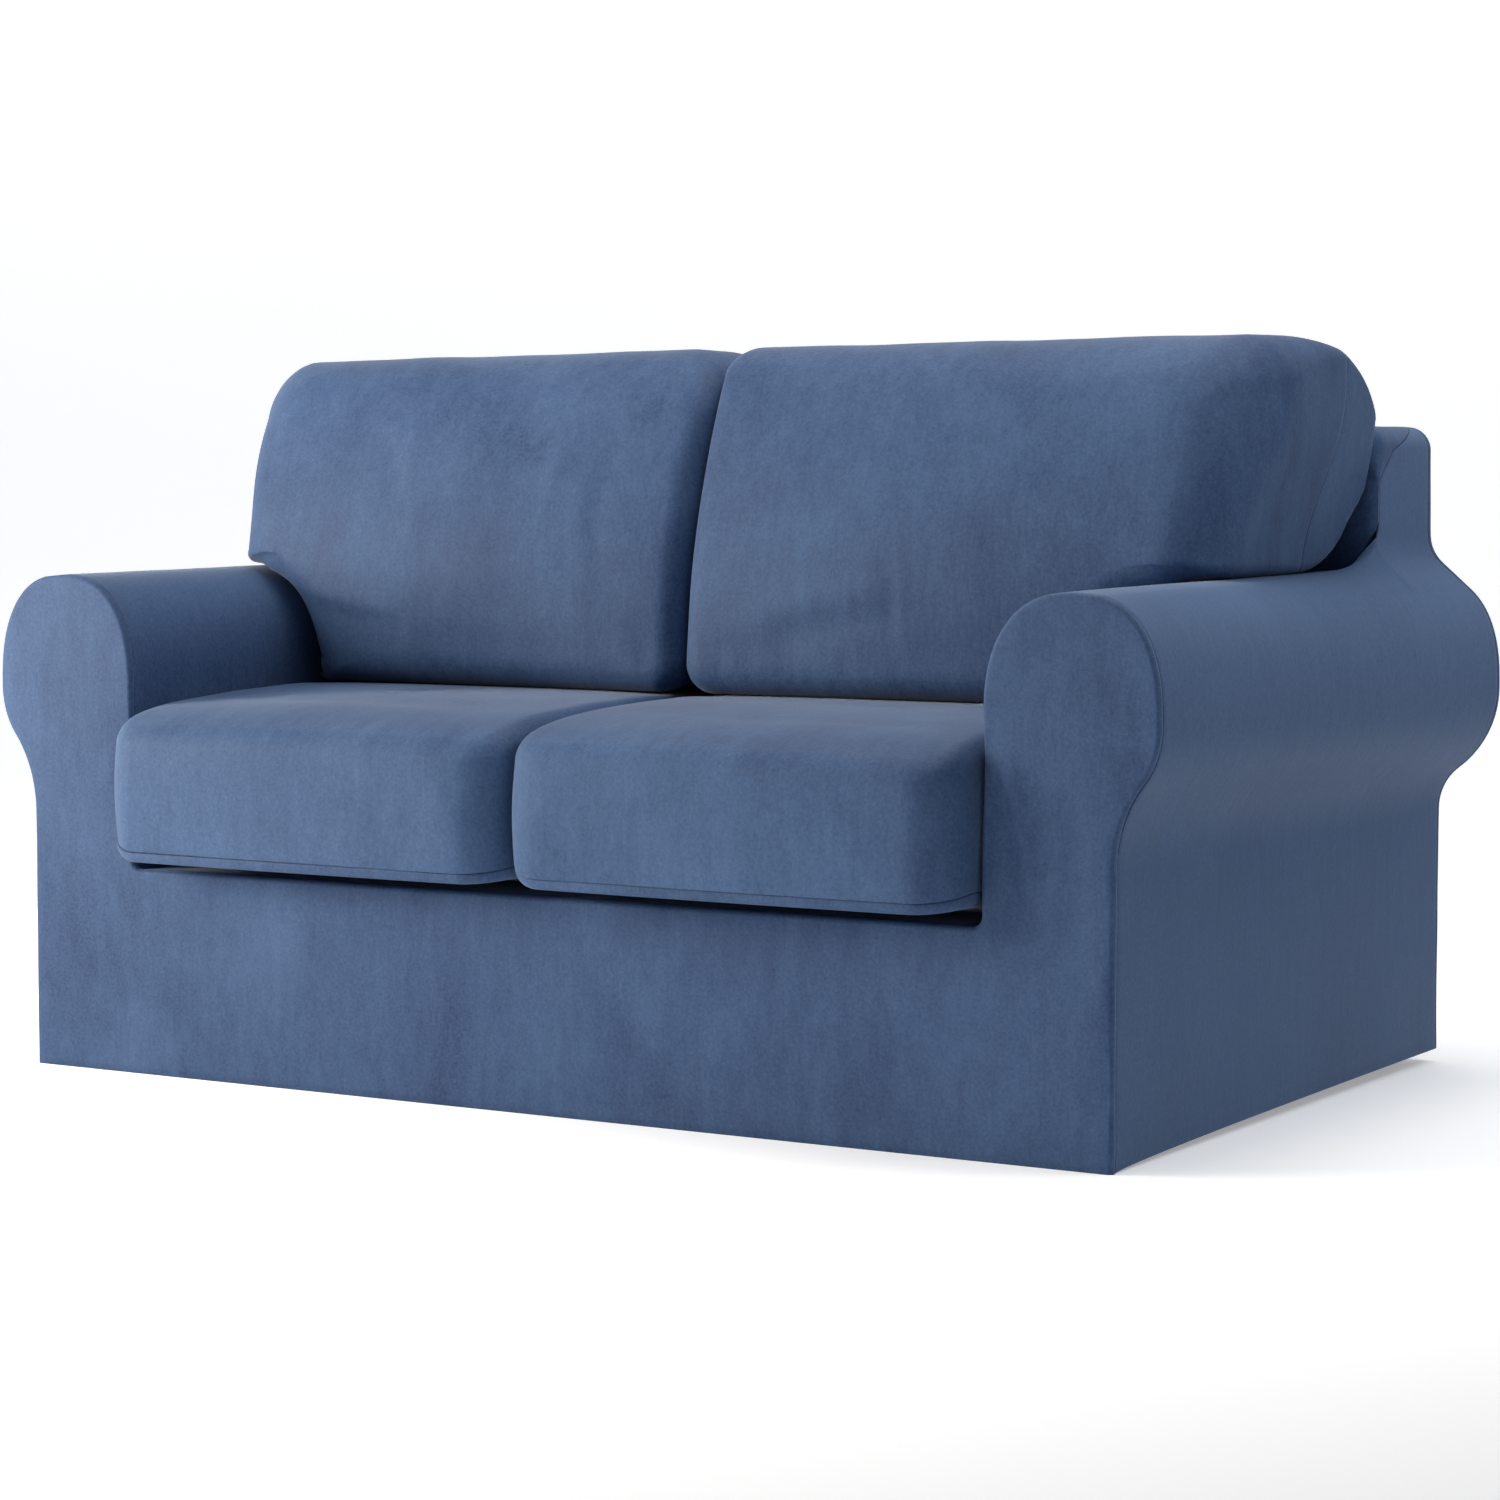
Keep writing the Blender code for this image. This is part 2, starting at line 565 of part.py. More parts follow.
def cushion_outline(side, y=0.0, around=0.0, inward=0.0):
    """The cover's outline from the front at a depth, anticlockwise from the middle of its bottom.

    around is 0 at the front and 1 from the seam on, where the outer corners are tight. inward is 0 at the full
    outline and 1 at the front face. Each point comes with the depth of its front edge's rounding.
    """
    shrink = {name: size * inward for name, size in CUSHION_ROUND.items()}
    x0, x1 = CUSHION_X[0] + shrink["gap"], CUSHION_X[1] + CUSHION_WIDER[side] - shrink["outer"]
    z0, z1 = CUSHION_Z[0] + shrink["bottom"], CUSHION_Z[1] - shrink["top"] - bend(y, *CUSHION_TOP_BEND)
    top_in, low_in, low_arm, drop, top_out = (
        max(size - CORNER_SHRINK * inward, CUSHION_TIGHT) for size in CUSHION_CORNERS[side].values()
    )
    drop = mix(drop, CUSHION_TIGHT, around)
    top_out = mix(top_out, CUSHION_TIGHT, around)
    beside = CUSHION_BESIDE_ARM + shrink["arm"]
    tuck = CUSHION_WING_TUCK * (1 - inward)
    hollow = over_roll(y, beside, CUSHION_LEDGE_GAP + shrink["ledge"], x1 - tuck - drop, 6)
    arm_x, ledge = ARM_INNER - beside, hollow[-1][1]
    fit = min(1.0, 0.8 * (z1 - ledge) / (top_out + drop))
    top_out *= fit
    drop *= fit
    parts = [
        ([(x, z0) for x in steps(x0 + low_in, arm_x - low_arm, 5)], "bottom", "bottom"),
        (arc((arm_x - low_arm, z0 + low_arm), (low_arm, low_arm), -90, 0, 3), "bottom", "arm"),
        ([(arm_x, z0 + low_arm)] + hollow[:5], "arm", "ledge"),
        (hollow[4:], "ledge", "wing"),
        (arc((x1 - tuck - drop, ledge + drop), (drop, drop), -90, 0, 4), "wing", "outer"),
        ([(x1 - tuck * wing_low(z), z) for z in steps(ledge + drop, z1 - top_out, 4)], "outer", "outer"),
        (arc((x1 - top_out, z1 - top_out), (top_out, top_out), 0, 90, 5), "outer", "top"),
        ([(x, z1) for x in steps(x1 - top_out, x0 + top_in, 6)], "top", "top"),
        (arc((x0 + top_in, z1 - top_in), (top_in, top_in), 90, 180, 3), "top", "gap"),
        ([(x0, z) for z in steps(z1 - top_in, z0 + low_in, 5)], "gap", "gap"),
        (arc((x0 + low_in, z0 + low_in), (low_in, low_in), 180, 270, 3), "gap", "bottom"),
    ]
    path, edges = [], []
    for points, start, end in parts:
        path += points[1:]
        count = len(points) - 1
        edges += [mix(CUSHION_ROUND[start], CUSHION_ROUND[end], i / count) for i in range(1, count + 1)]
    return path, edges


def cushion_face_y(x, z):
    """Depth of the front face, which leans back and swells towards its middle."""
    (x0, x1), (z0, z1) = CUSHION_X, CUSHION_Z
    across = (2 * x - x0 - x1) / (x1 - x0)
    up = (z - z0) / (z1 - z0)
    lean = CUSHION_LEAN[0] * (z - z0) + CUSHION_LEAN[1] * (z - z0) ** 2
    return CUSHION_FACE_Y + lean - CUSHION_CROWN * (1 - across ** 2) * math.sin(math.pi * min(max(up, 0), 1))


def back_cover(side, face_finish, rear_finish):
    """The face, which wraps round to a seam on the top and sides, and the rear; the underside is open."""
    ending = "right" if side > 0 else "left"
    path, edges = cushion_outline(side)
    count = len(path)
    normal = normals(path, closed=True)
    under = [n[1] < -0.5 and p[1] < CUSHION_Z[0] + CUSHION_UNDER_Z for p, n in zip(path, normal)]

    rows = []
    for turn in (0, 30, 60, 90):
        inward = 1 - math.sin(math.radians(turn))
        back = 1 - math.cos(math.radians(turn))
        moved = cushion_outline(side, 0, 0, inward)[0]
        rows.append([(x, cushion_face_y(x, z) + e * back, z) for (x, z), e in zip(moved, edges)])
    seam = []
    for (x, z), is_under in zip(path, under):
        high = smooth((z - arm_ledge(0)) / CUSHION_SEAM_Z)
        seam.append(cushion_face_y(x, z) + CUSHION_HEM[0] if is_under else mix(*CUSHION_SEAM_Y, high))
    for share in (0.5, 0.97, 1):
        row = []
        for i in range(count):
            y = mix(rows[3][i][1], seam[i], share)
            x, z = cushion_outline(side, y, share)[0][i]
            row.append((x, y, z))
        rows.append(row)
    bm = bmesh.new()
    add_strip(bm, [[settle(point, side) for point in row] for row in rows], closed=True)
    face = cushion_outline(side, 0, 0, 1)[0]
    add_fill(bm, face, 0.09, lambda x, z: settle((x, cushion_face_y(x, z), z), side))
    middle = (0.35, 0.10, 0.70)
    finish_panel(bm, "back_cover_face_" + ending, middle, face_finish, side)

    rows = []
    rear_start = CUSHION_REAR_Y - CUSHION_REAR_EDGE
    for share in (0, 0.04, 0.4, 0.7, 0.88, 1):
        row = []
        for i in range(count):
            start = CUSHION_REAR_Y - CUSHION_HEM[1] if under[i] else seam[i] + SLANT_SEAM
            y = mix(start, rear_start, share)
            x, z = cushion_outline(side, y, 1)[0][i]
            row.append((x, y, z))
        rows.append(row)
    for turn in (45, 90):
        y = rear_start + CUSHION_REAR_EDGE * math.sin(math.radians(turn))
        outline = cushion_outline(side, y, 1)[0]
        inward = CUSHION_REAR_EDGE * (1 - math.cos(math.radians(turn)))
        rows.append([(x, y, z) for x, z in inset(outline, normals(outline, closed=True), [inward] * count)])
    bm = bmesh.new()
    add_strip(bm, [[settle(point, side) for point in row] for row in rows], closed=True)
    rear = [(x, z) for x, _, z in rows[-1]]
    add_fill(bm, rear, 0.12, lambda x, z: settle((x, CUSHION_REAR_Y, z), side))
    finish_panel(bm, "back_cover_rear_" + ending, middle, rear_finish, side)


if __name__ == "__main__":
    for thing in list(bpy.data.objects):
        bpy.data.objects.remove(thing)
    front_panel(velvet("velvet_front", VELVET, VELVET_ROUGHNESS))
    for way, ending in ((1, "_right"), (-1, "_left")):
        arm_panel(way, velvet("velvet_arm" + ending, VELVET, VELVET_ROUGHNESS))
        seat_cover(
            way,
            velvet("velvet_seat_top" + ending, VELVET, VELVET_ROUGHNESS),
            velvet("velvet_seat_border" + ending, VELVET, VELVET_ROUGHNESS),
        )
        back_cover(
            way,
            velvet("velvet_cushion_face" + ending, VELVET, VELVET_ROUGHNESS),
            velvet("velvet_cushion_rear" + ending, VELVET, VELVET_ROUGHNESS),
        )
    inside_back_panel(velvet("velvet_inside_back", VELVET, VELVET_ROUGHNESS))
    outer_back_panel(velvet("velvet_outer_back", VELVET, VELVET_ROUGHNESS))
    seat_deck_panel(velvet("velvet_seat_deck", VELVET, VELVET_ROUGHNESS))
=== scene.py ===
"""Looks of a stretched velvet slipcover for a two-seat sofa: every panel as a thin sheet in the
shape that it is pulled into, with its seams, hems and creases. Metres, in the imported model's frame."""

import math

import bmesh
import bpy
import numpy as np
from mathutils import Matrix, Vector, kdtree, noise
from mathutils.geometry import delaunay_2d_cdt


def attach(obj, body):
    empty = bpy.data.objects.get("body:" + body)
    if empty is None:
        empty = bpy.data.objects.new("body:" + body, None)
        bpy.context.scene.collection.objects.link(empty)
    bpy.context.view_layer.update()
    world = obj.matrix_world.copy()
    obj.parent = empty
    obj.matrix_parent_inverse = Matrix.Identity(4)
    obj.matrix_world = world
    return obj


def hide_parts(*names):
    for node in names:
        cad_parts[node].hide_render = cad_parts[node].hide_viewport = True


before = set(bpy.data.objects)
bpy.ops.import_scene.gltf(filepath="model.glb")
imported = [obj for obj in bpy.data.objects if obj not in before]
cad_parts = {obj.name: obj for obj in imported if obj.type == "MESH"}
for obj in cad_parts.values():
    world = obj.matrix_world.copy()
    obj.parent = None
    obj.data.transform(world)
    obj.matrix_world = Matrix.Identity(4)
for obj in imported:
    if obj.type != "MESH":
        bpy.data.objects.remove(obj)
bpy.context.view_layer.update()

# The room ------------------------------------
# A plain white studio: a pale floor that curves up into a wall. The sweep glows on its left, floor and wall,
# a painted glow that stands in for a lit backdrop and lights the cover's edges from behind. Two soft
# lamps stand on the left, one hangs overhead and a cool one stands behind on the right. The camera has
# a long lens, a little above the seat and to the right of the middle.

FLOOR_FRONT_Y = -9.0
SWEEP_Y = 7.0
SWEEP_RADIUS = 2.5
SWEEP_HALF = 16.0
SWEEP_TOP = 9.0
SWEEP_STEP = 6               # degrees between the points of its curve
SWEEP_WHITE = (0.90, 0.90, 0.90, 1)
SWEEP_ROUGH = 0.9
CAMERA_PLACE = (2.5725, -4.1355, 0.7516)
CAMERA_AZIMUTH = 31.49
CAMERA_DOWN = 4.09
CAMERA_LENS = 92.5
CAMERA_SENSOR = 36
CAMERA_REACH = 60
ROOM_LIGHT = 0.22
ROOM_TINT = (0.88, 0.95, 1.07, 1)
WALL_GLOW = 0.60
WALL_LIT_X = (-1.0, 2.5)     # the sweep's painted glow fades out between these


class Reading:
    """A value that varies over a surface: sums on it add Math nodes to its material."""

    def __init__(self, tree, socket):
        self.tree = tree
        self.socket = socket

    def node(self, kind, settings, links, output=0):
        """A node of a kind, its settings made first, then its sockets filled with values or linked."""
        made = self.tree.nodes.new(kind)
        for name, value in settings.items():
            setattr(made, name, value)
        for name, value in links.items():
            if isinstance(value, Reading):
                self.tree.links.new(value.socket, made.inputs[name])
            else:
                made.inputs[name].default_value = value
        return Reading(self.tree, made.outputs[output])

    def reckon(self, operation, first, second):
        return self.node("ShaderNodeMath", {"operation": operation}, {0: first, 1: second})

    def __add__(self, other):
        return self.reckon("ADD", self, other)

    def __sub__(self, other):
        return self.reckon("SUBTRACT", self, other)

    def __mul__(self, other):
        return self.reckon("MULTIPLY", self, other)

    def __radd__(self, other):
        return self.reckon("ADD", other, self)

    def __rsub__(self, other):
        return self.reckon("SUBTRACT", other, self)

    def __rmul__(self, other):
        return self.reckon("MULTIPLY", other, self)


profile = [(FLOOR_FRONT_Y, 0.0)]
for turn in range(0, 91, SWEEP_STEP):
    bent = math.radians(turn)
    profile.append((SWEEP_Y + SWEEP_RADIUS * math.sin(bent), SWEEP_RADIUS * (1 - math.cos(bent))))
profile.append((SWEEP_Y + SWEEP_RADIUS, SWEEP_TOP))
sweep_points = [(x, y, z) for y, z in profile for x in (-SWEEP_HALF, SWEEP_HALF)]
sweep_faces = [(2 * i, 2 * i + 1, 2 * i + 3, 2 * i + 2) for i in range(len(profile) - 1)]
sweep_mesh = bpy.data.meshes.new("studio_sweep")
sweep_mesh.from_pydata(sweep_points, [], sweep_faces)
sweep_mesh.shade_smooth()
sweep = bpy.data.objects.new("studio_sweep", sweep_mesh)
bpy.context.collection.objects.link(sweep)
sweep_paint = bpy.data.materials.new("pale_sweep")
sweep_paint.use_nodes = True
sweep_tree = sweep_paint.node_tree
sweep_shader = sweep_tree.nodes["Principled BSDF"]
sweep_shader.inputs["Base Color"].default_value = SWEEP_WHITE
sweep_shader.inputs["Roughness"].default_value = SWEEP_ROUGH
# A painted glow: the sweep gives off light on its left side, and that light falls on the cover.
sweep_shader.inputs["Emission Strength"].default_value = WALL_GLOW
sweep_place = Reading(sweep_tree, sweep_tree.nodes.new("ShaderNodeTexCoord").outputs["Object"])
sweep_across = sweep_place.node("ShaderNodeSeparateXYZ", {}, {"Vector": sweep_place})
wall_light = sweep_across.node(
    "ShaderNodeMapRange",
    {"interpolation_type": "SMOOTHSTEP"},
    {
        "Value": sweep_across, "From Min": WALL_LIT_X[1], "From Max": WALL_LIT_X[0],
        "To Min": 0.0, "To Max": 1.0,
    },
)
sweep_tree.links.new(wall_light.socket, sweep_shader.inputs["Emission Color"])
sweep_mesh.materials.append(sweep_paint)

camera = bpy.data.objects.new("camera", bpy.data.cameras.new("camera"))
bpy.context.collection.objects.link(camera)
camera.location = CAMERA_PLACE
camera.rotation_euler = (math.radians(90 - CAMERA_DOWN), 0, math.radians(CAMERA_AZIMUTH))
camera.data.lens = CAMERA_LENS
camera.data.sensor_width = CAMERA_SENSOR
camera.data.clip_end = CAMERA_REACH
bpy.context.scene.camera = camera

room = bpy.data.worlds.new("room")
room.use_nodes = True
room_glow = room.node_tree.nodes["Background"]
room_glow.inputs["Color"].default_value = ROOM_TINT
room_glow.inputs["Strength"].default_value = ROOM_LIGHT
bpy.context.scene.world = room
bpy.context.scene.view_settings.view_transform = "Standard"


def softbox(name, place, aim, size, power, tint, spread=180):
    """A square lamp with a diffuser, turned to a point; spread is the cone of its light in degrees."""
    lamp = bpy.data.lights.new(name, "AREA")
    lamp.shape = "SQUARE"
    lamp.size = size
    lamp.energy = power
    lamp.color = tint
    lamp.spread = math.radians(spread)
    holder = bpy.data.objects.new(name, lamp)
    holder.location = place
    holder.rotation_euler = (Vector(aim) - Vector(place)).to_track_quat("-Z", "Y").to_euler()
    bpy.context.collection.objects.link(holder)


softbox("window_light", (-2.5, -2.3, 1.7), (-0.3, 0.0, 0.45), 1.4, 89, (1.0, 0.95, 0.87))
softbox("left_light", (-2.6, -1.7, 0.9), (-0.55, -0.1, 0.66), 0.7, 8, (1.0, 0.91, 0.80), 60)
softbox("ceiling_light", (0.4, 0.1, 3.2), (0.3, 0.0, 0.4), 2.2, 72, (1.0, 0.95, 0.90))
softbox("side_light", (2.8, 0.8, 2.6), (0.8, 0.0, 0.5), 1.2, 26, (0.86, 0.94, 1.0))

# The front panel -----------------------------
# Both arm fronts and the front rail, cut as one piece of stretch velvet. Its edge wraps back round
# the sofa's corners to the seams with the arm panels and the deck, and its hem hangs to the floor.

CLOTH = 0.0025
SEAM = 0.0003
LEAD = 0.003
MERGE = 0.00001
FRONT_Y = -0.4375
BACKREST_Y = 0.3175
REAR_Y = 0.5125
SKIRT_HALF = 0.763
HEM_RISE = 0.018
DECK_Z = 0.258
ARM_INNER = 0.602
ROLL_X, ROLL_Z = 0.7135, 0.483
ROLL_REACH = (0.103, 0.128)
ROLL_RISE = (0.1425, 0.151)
ROLL_POWER = (2.45, 2.6)
NECK_RADIUS = (0.150, 0.065)
DECK_FILLET = 0.012
FLARE_ANGLE = 52
RIDGE_ANGLE = 78
FLARE_RADIUS = 0.045
SADDLE_START_Y = 0.170
BACK_HALF = 0.7505
FRONT_EDGE = 0.006
SINK = 0.0006            # the stitches pull a seam's edges this deep
SINK_REACH = 0.0024
HEM_FOLD = 0.022         # the hem's stitches run this far above its edge
HEM_ROWS = (0, 0.002, 0.008, HEM_FOLD - 0.006, HEM_FOLD - 0.003, HEM_FOLD)
HEM_CALM = 0.03          # above a hem the unevenness grows over this height
HEM_FREE_Z = 0.02        # lower than this, an edge of the sides or the rear is its hem
FOLD_REACH = 3           # a crease ends this many widths away
FOLD_ENDS = (0.35, 4)    # its height at the ends, and the widths over which it grows
RIPPLE_SCALES = (5.5, 13)
FRONT_SPACING = 0.012    # between the inner points of the face


def smooth(value):
    """0 below 0, 1 above 1, and a soft step between."""
    value = min(max(value, 0.0), 1.0)
    return value * value * (3 - 2 * value)


def mix(low, high, share):
    return low + (high - low) * share


def steps(low, high, count):
    """count + 1 even values from low to high."""
    return [mix(low, high, i / count) for i in range(count + 1)]


def arc(centre, radii, start, end, count):
    """Points (x, z) on an ellipse, from start to end in degrees."""
    return [
        (centre[0] + radii[0] * math.cos(math.radians(a)), centre[1] + radii[1] * math.sin(math.radians(a)))
        for a in steps(start, end, count)
    ]


def normals(path, closed=False):
    """Unit normals on the right-hand side of a path, which is its outer side when it runs anticlockwise."""
    count = len(path)
    found = []
    for i in range(count):
        before = path[i - 1] if closed or i else path[0]
        after = path[(i + 1) % count] if closed or i < count - 1 else path[-1]
        along = Vector((after[0] - before[0], after[1] - before[1])).normalized()
        found.append((along.y, -along.x))
    return found


def inset(path, normal, depths):
    """The path moved inwards by each point's own depth."""
    return [(p[0] - n[0] * d, p[1] - n[1] * d) for p, n, d in zip(path, normal, depths)]


def mirrored(path):
    return [(-x, z) for x, z in reversed(path)]


def add_strip(bm, rows, closed=False):
    """Quads between rows of points; closed joins each row's end to its start."""
    grid = [[bm.verts.new(point) for point in row] for row in rows]
    for lower, upper in zip(grid, grid[1:]):
        last = len(lower) if closed else len(lower) - 1
        for i in range(last):
            j = (i + 1) % len(lower)
            bm.faces.new((lower[i], lower[j], upper[j], upper[i]))


def add_fill(bm, loop, spacing, place):
    """Triangles inside a flat loop, with inner points every spacing.

    place turns a flat point into one in space.
    """
    edge = np.array(loop)
    low, high = edge.min(0), edge.max(0)
    counts = [max(2, round((high[k] - low[k]) / spacing)) for k in (0, 1)]
    across = np.linspace(low[0], high[0], counts[0] + 1)[1:-1]
    along = np.linspace(low[1], high[1], counts[1] + 1)[1:-1]
    tries = np.array([(x, y) for x in across for y in along])
    start, end = edge, np.roll(edge, -1, axis=0)
    crossing = np.zeros(len(tries), bool)
    nearest = np.full(len(tries), 1e9)
    for a, b in zip(start, end):
        if a[1] != b[1]:
            spans = (a[1] > tries[:, 1]) != (b[1] > tries[:, 1])
            crossing ^= spans & (tries[:, 0] < a[0] + (tries[:, 1] - a[1]) * (b[0] - a[0]) / (b[1] - a[1]))
        nearest = np.minimum(nearest, np.hypot(tries[:, 0] - a[0], tries[:, 1] - a[1]))
    inner = tries[crossing & (nearest > 0.5 * spacing)]
    flat = [Vector(p) for p in loop] + [Vector(p.tolist()) for p in inner]
    edges = [(i, (i + 1) % len(loop)) for i in range(len(loop))]
    points, _, faces, _, _, _ = delaunay_2d_cdt(flat, edges, [], 1, 0.0)
    corners = [bm.verts.new(place(p.x, p.y)) for p in points]
    for face in faces:
        bm.faces.new([corners[i] for i in face])


def fold_height(point, folds):
    """How far the folds lift the cloth at a point: each is a line of points with a width and a height."""
    lift = 0.0
    for line, width, height in folds:
        near = 1e9
        for a, b in zip(line, line[1:]):
            ab = Vector(b) - Vector(a)
            share = min(max((point - Vector(a)).dot(ab) / ab.length_squared, 0.0), 1.0)
            near = min(near, (point - Vector(a) - ab * share).length)
        if near < FOLD_REACH * width:
            ends = min((point - Vector(line[0])).length, (point - Vector(line[-1])).length)
            ending = smooth(FOLD_ENDS[0] + ends / (FOLD_ENDS[1] * width))
            lift += height * math.exp(-((near / width) ** 2)) * ending
    return lift


def sew_in(bm, hems, sink=SINK):
    """Pulls a panel's sewn edges in; hems says where an edge is free and isn't pulled."""
    bm.normal_update()
    edges = [v.co for v in bm.verts if v.is_boundary and not hems(v.co)]
    tree = kdtree.KDTree(max(1, len(edges)))
    for i, co in enumerate(edges):
        tree.insert(co, i)
    tree.balance()
    moves = []
    for vert in bm.verts:
        near = tree.find(vert.co)[2] if edges else 1.0
        moves.append(vert.normal * (-sink * math.exp(-((near / SINK_REACH) ** 2))))
    for vert, move in zip(bm.verts, moves):
        vert.co += move


def cloth_panel(
    bm, name, hollow, finish, side=1, folds=(), hems=lambda co: False,
    ripple=0.0006, quiet=lambda co: 1.0, sink=SINK,
):
    """One sheet: joined, turned away from the hollow, sewn in, creased, and thickened inwards.

    hollow is a point inside the cover. ripple is the height of the unevenness, and quiet says how
    much of it and of the creases a point takes.
    """
    bmesh.ops.remove_doubles(bm, verts=bm.verts[:], dist=MERGE)
    bmesh.ops.dissolve_degenerate(bm, dist=MERGE, edges=bm.edges[:])
    for vert in bm.verts:
        vert.co.x *= side
    bmesh.ops.recalc_face_normals(bm, faces=bm.faces[:])
    centre = Vector((hollow[0] * side, hollow[1], hollow[2]))
    if sum((f.calc_center_median() - centre).dot(f.normal) * f.calc_area() for f in bm.faces) < 0:
        bmesh.ops.reverse_faces(bm, faces=bm.faces[:])
    sew_in(bm, hems, sink)
    bm.normal_update()
    moves = []
    for vert in bm.verts:
        broad = noise.noise(vert.co * RIPPLE_SCALES[0])
        wave = broad + 0.5 * noise.noise(vert.co * RIPPLE_SCALES[1] + Vector((3, 1, 7)))
        moves.append(vert.normal * (fold_height(vert.co, folds) + ripple * wave) * quiet(vert.co))
    for vert, move in zip(bm.verts, moves):
        vert.co += move
    mesh = bpy.data.meshes.new(name)
    bm.to_mesh(mesh)
    bm.free()
    mesh.shade_smooth()
    mesh.materials.append(finish)
    panel = bpy.data.objects.new(name, mesh)
    bpy.context.collection.objects.link(panel)
    thickness = panel.modifiers.new("cloth", "SOLIDIFY")
    thickness.thickness = CLOTH
    thickness.offset = -1
    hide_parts(name)
    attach(panel, "root")
    return panel


VELVET_DEEP = (0.017, 0.039, 0.105, 1)
VELVET_PALE = (0.062, 0.114, 0.220, 1)
SHEEN_TINT = (0.88, 0.94, 1.0, 1)
SHEEN = 0.15
SHEEN_ROUGHNESS = 0.38
VELVET_SPECULAR = 0.20
VELVET_ROUGHNESS = (0.60, 0.14)      # where it is deepest, and what the palest pile and painted light add
RELIEF_STRENGTH = 0.45
RELIEF_HEIGHT = 0.0016
STROKES_UPRIGHT = (34, 34, 9)        # the pile's fine strokes run up and down
STROKES_OVER = (9, 34, 9)            # over the roll of an arm
STROKES_FORWARD = (34, 9, 9)         # from the rear to the front


def velvet(name, strokes, painted_panel_light=0.0, offset=(0.0, 0.0, 0.0), painted_light_by_height=(0.0, 1.0, 0.0), brushed=1.0):
    """Short-pile velvet: brushed patches in the pile, fine strokes across one axis, the pile's own grain,
    and painted light and shade.

    The height setting paints light and shade with height, paler or deeper where the lamps fall more or
    less: where that starts and ends, and by how much. The panel setting paints the whole panel lighter
    or darker, painted light and shade for how the lamps fall on it. brushed is how strong the patches
    and strokes are.
    """
    finish = bpy.data.materials.new(name)
    finish.use_nodes = True
    tree = finish.node_tree
    shader = tree.nodes["Principled BSDF"]
    base = Reading(tree, tree.nodes.new("ShaderNodeTexCoord").outputs["Object"])
    place = base.node("ShaderNodeMapping", {}, {"Vector": base, "Location": offset})
    drawn = base.node("ShaderNodeMapping", {}, {"Vector": base, "Location": offset, "Scale": strokes})

    def grain(vector, scale, detail, roughness, distortion=0.0):
        values = {"Scale": scale, "Detail": detail, "Roughness": roughness, "Distortion": distortion}
        return base.node("ShaderNodeTexNoise", {}, {"Vector": vector, **values})

    patches = grain(place, 4.2, 5.0, 0.58, 0.5)
    smears = grain(drawn, 0.28, 3.0, 0.6, 0.3)
    streaks = grain(drawn, 1.6, 3.0, 0.7)
    curls = grain(place, 62.0, 3.0, 0.6, 1.4)
    pile = grain(place, 240.0, 2.0, 0.7)
    height = base.node("ShaderNodeSeparateXYZ", {}, {"Vector": base}, output=2)
    # Painted light and shade: the colour turns paler or deeper above a given height, as the light from above
    # falls.
    turned = base.node(
        "ShaderNodeMapRange",
        {"interpolation_type": "SMOOTHSTEP"},
        {"Value": height, "From Min": painted_light_by_height[0], "From Max": painted_light_by_height[1], "To Min": 0.0, "To Max": painted_light_by_height[2]},
    )
    marks = (patches - 0.5) * 0.95 + (smears - 0.5) * 0.7 + (streaks - 0.5) * 0.6 + (curls - 0.5) * 0.4
    # The colour's value sums the pile's own marks with painted light and shade: the change with height and
    # the panel's own setting.
    nap_and_painted_light = marks * brushed + (pile - 0.5) * 1.0 + turned + (0.5 + painted_panel_light)
    colour = base.node(
        "ShaderNodeMix",
        {"data_type": "RGBA", "clamp_factor": True},
        {0: nap_and_painted_light, 6: VELVET_DEEP, 7: VELVET_PALE},
        output=2,
    )
    tree.links.new(colour.socket, shader.inputs["Base Color"])
    rough = VELVET_ROUGHNESS[0] + nap_and_painted_light * VELVET_ROUGHNESS[1]
    tree.links.new(rough.socket, shader.inputs["Roughness"])
    relief = pile * 0.6 + streaks * 0.9
    bump = base.node(
        "ShaderNodeBump", {}, {"Strength": RELIEF_STRENGTH, "Distance": RELIEF_HEIGHT, "Height": relief},
    )
    tree.links.new(bump.socket, shader.inputs["Normal"])
    shader.inputs["Specular IOR Level"].default_value = VELVET_SPECULAR
    shader.inputs["Sheen Weight"].default_value = SHEEN
    shader.inputs["Sheen Roughness"].default_value = SHEEN_ROUGHNESS
    shader.inputs["Sheen Tint"].default_value = SHEEN_TINT
    return finish


def roll_values(y):
    """Reach, rise and squareness of the roll at a depth."""
    reach = mix(*ROLL_REACH, (y - FRONT_Y) / (REAR_Y - FRONT_Y))
    climb = min(1.0, (y - FRONT_Y) / (BACKREST_Y - FRONT_Y))
    return reach, mix(*ROLL_RISE, climb), mix(*ROLL_POWER, climb)


def roll_arc(y, half_width, start, end, count):
    """Part of the roll's upper half, from start to end in degrees."""
    _, rise, power = roll_values(y)
    points = []
    for angle in steps(start, end, count):
        across = math.cos(math.radians(angle))
        up = math.sin(math.radians(angle))
        x = math.copysign(abs(across) ** (2 / power), across) if abs(across) > MERGE else 0.0
        points.append((ROLL_X + half_width * x, ROLL_Z + rise * max(up, 0.0) ** (2 / power)))
    return points


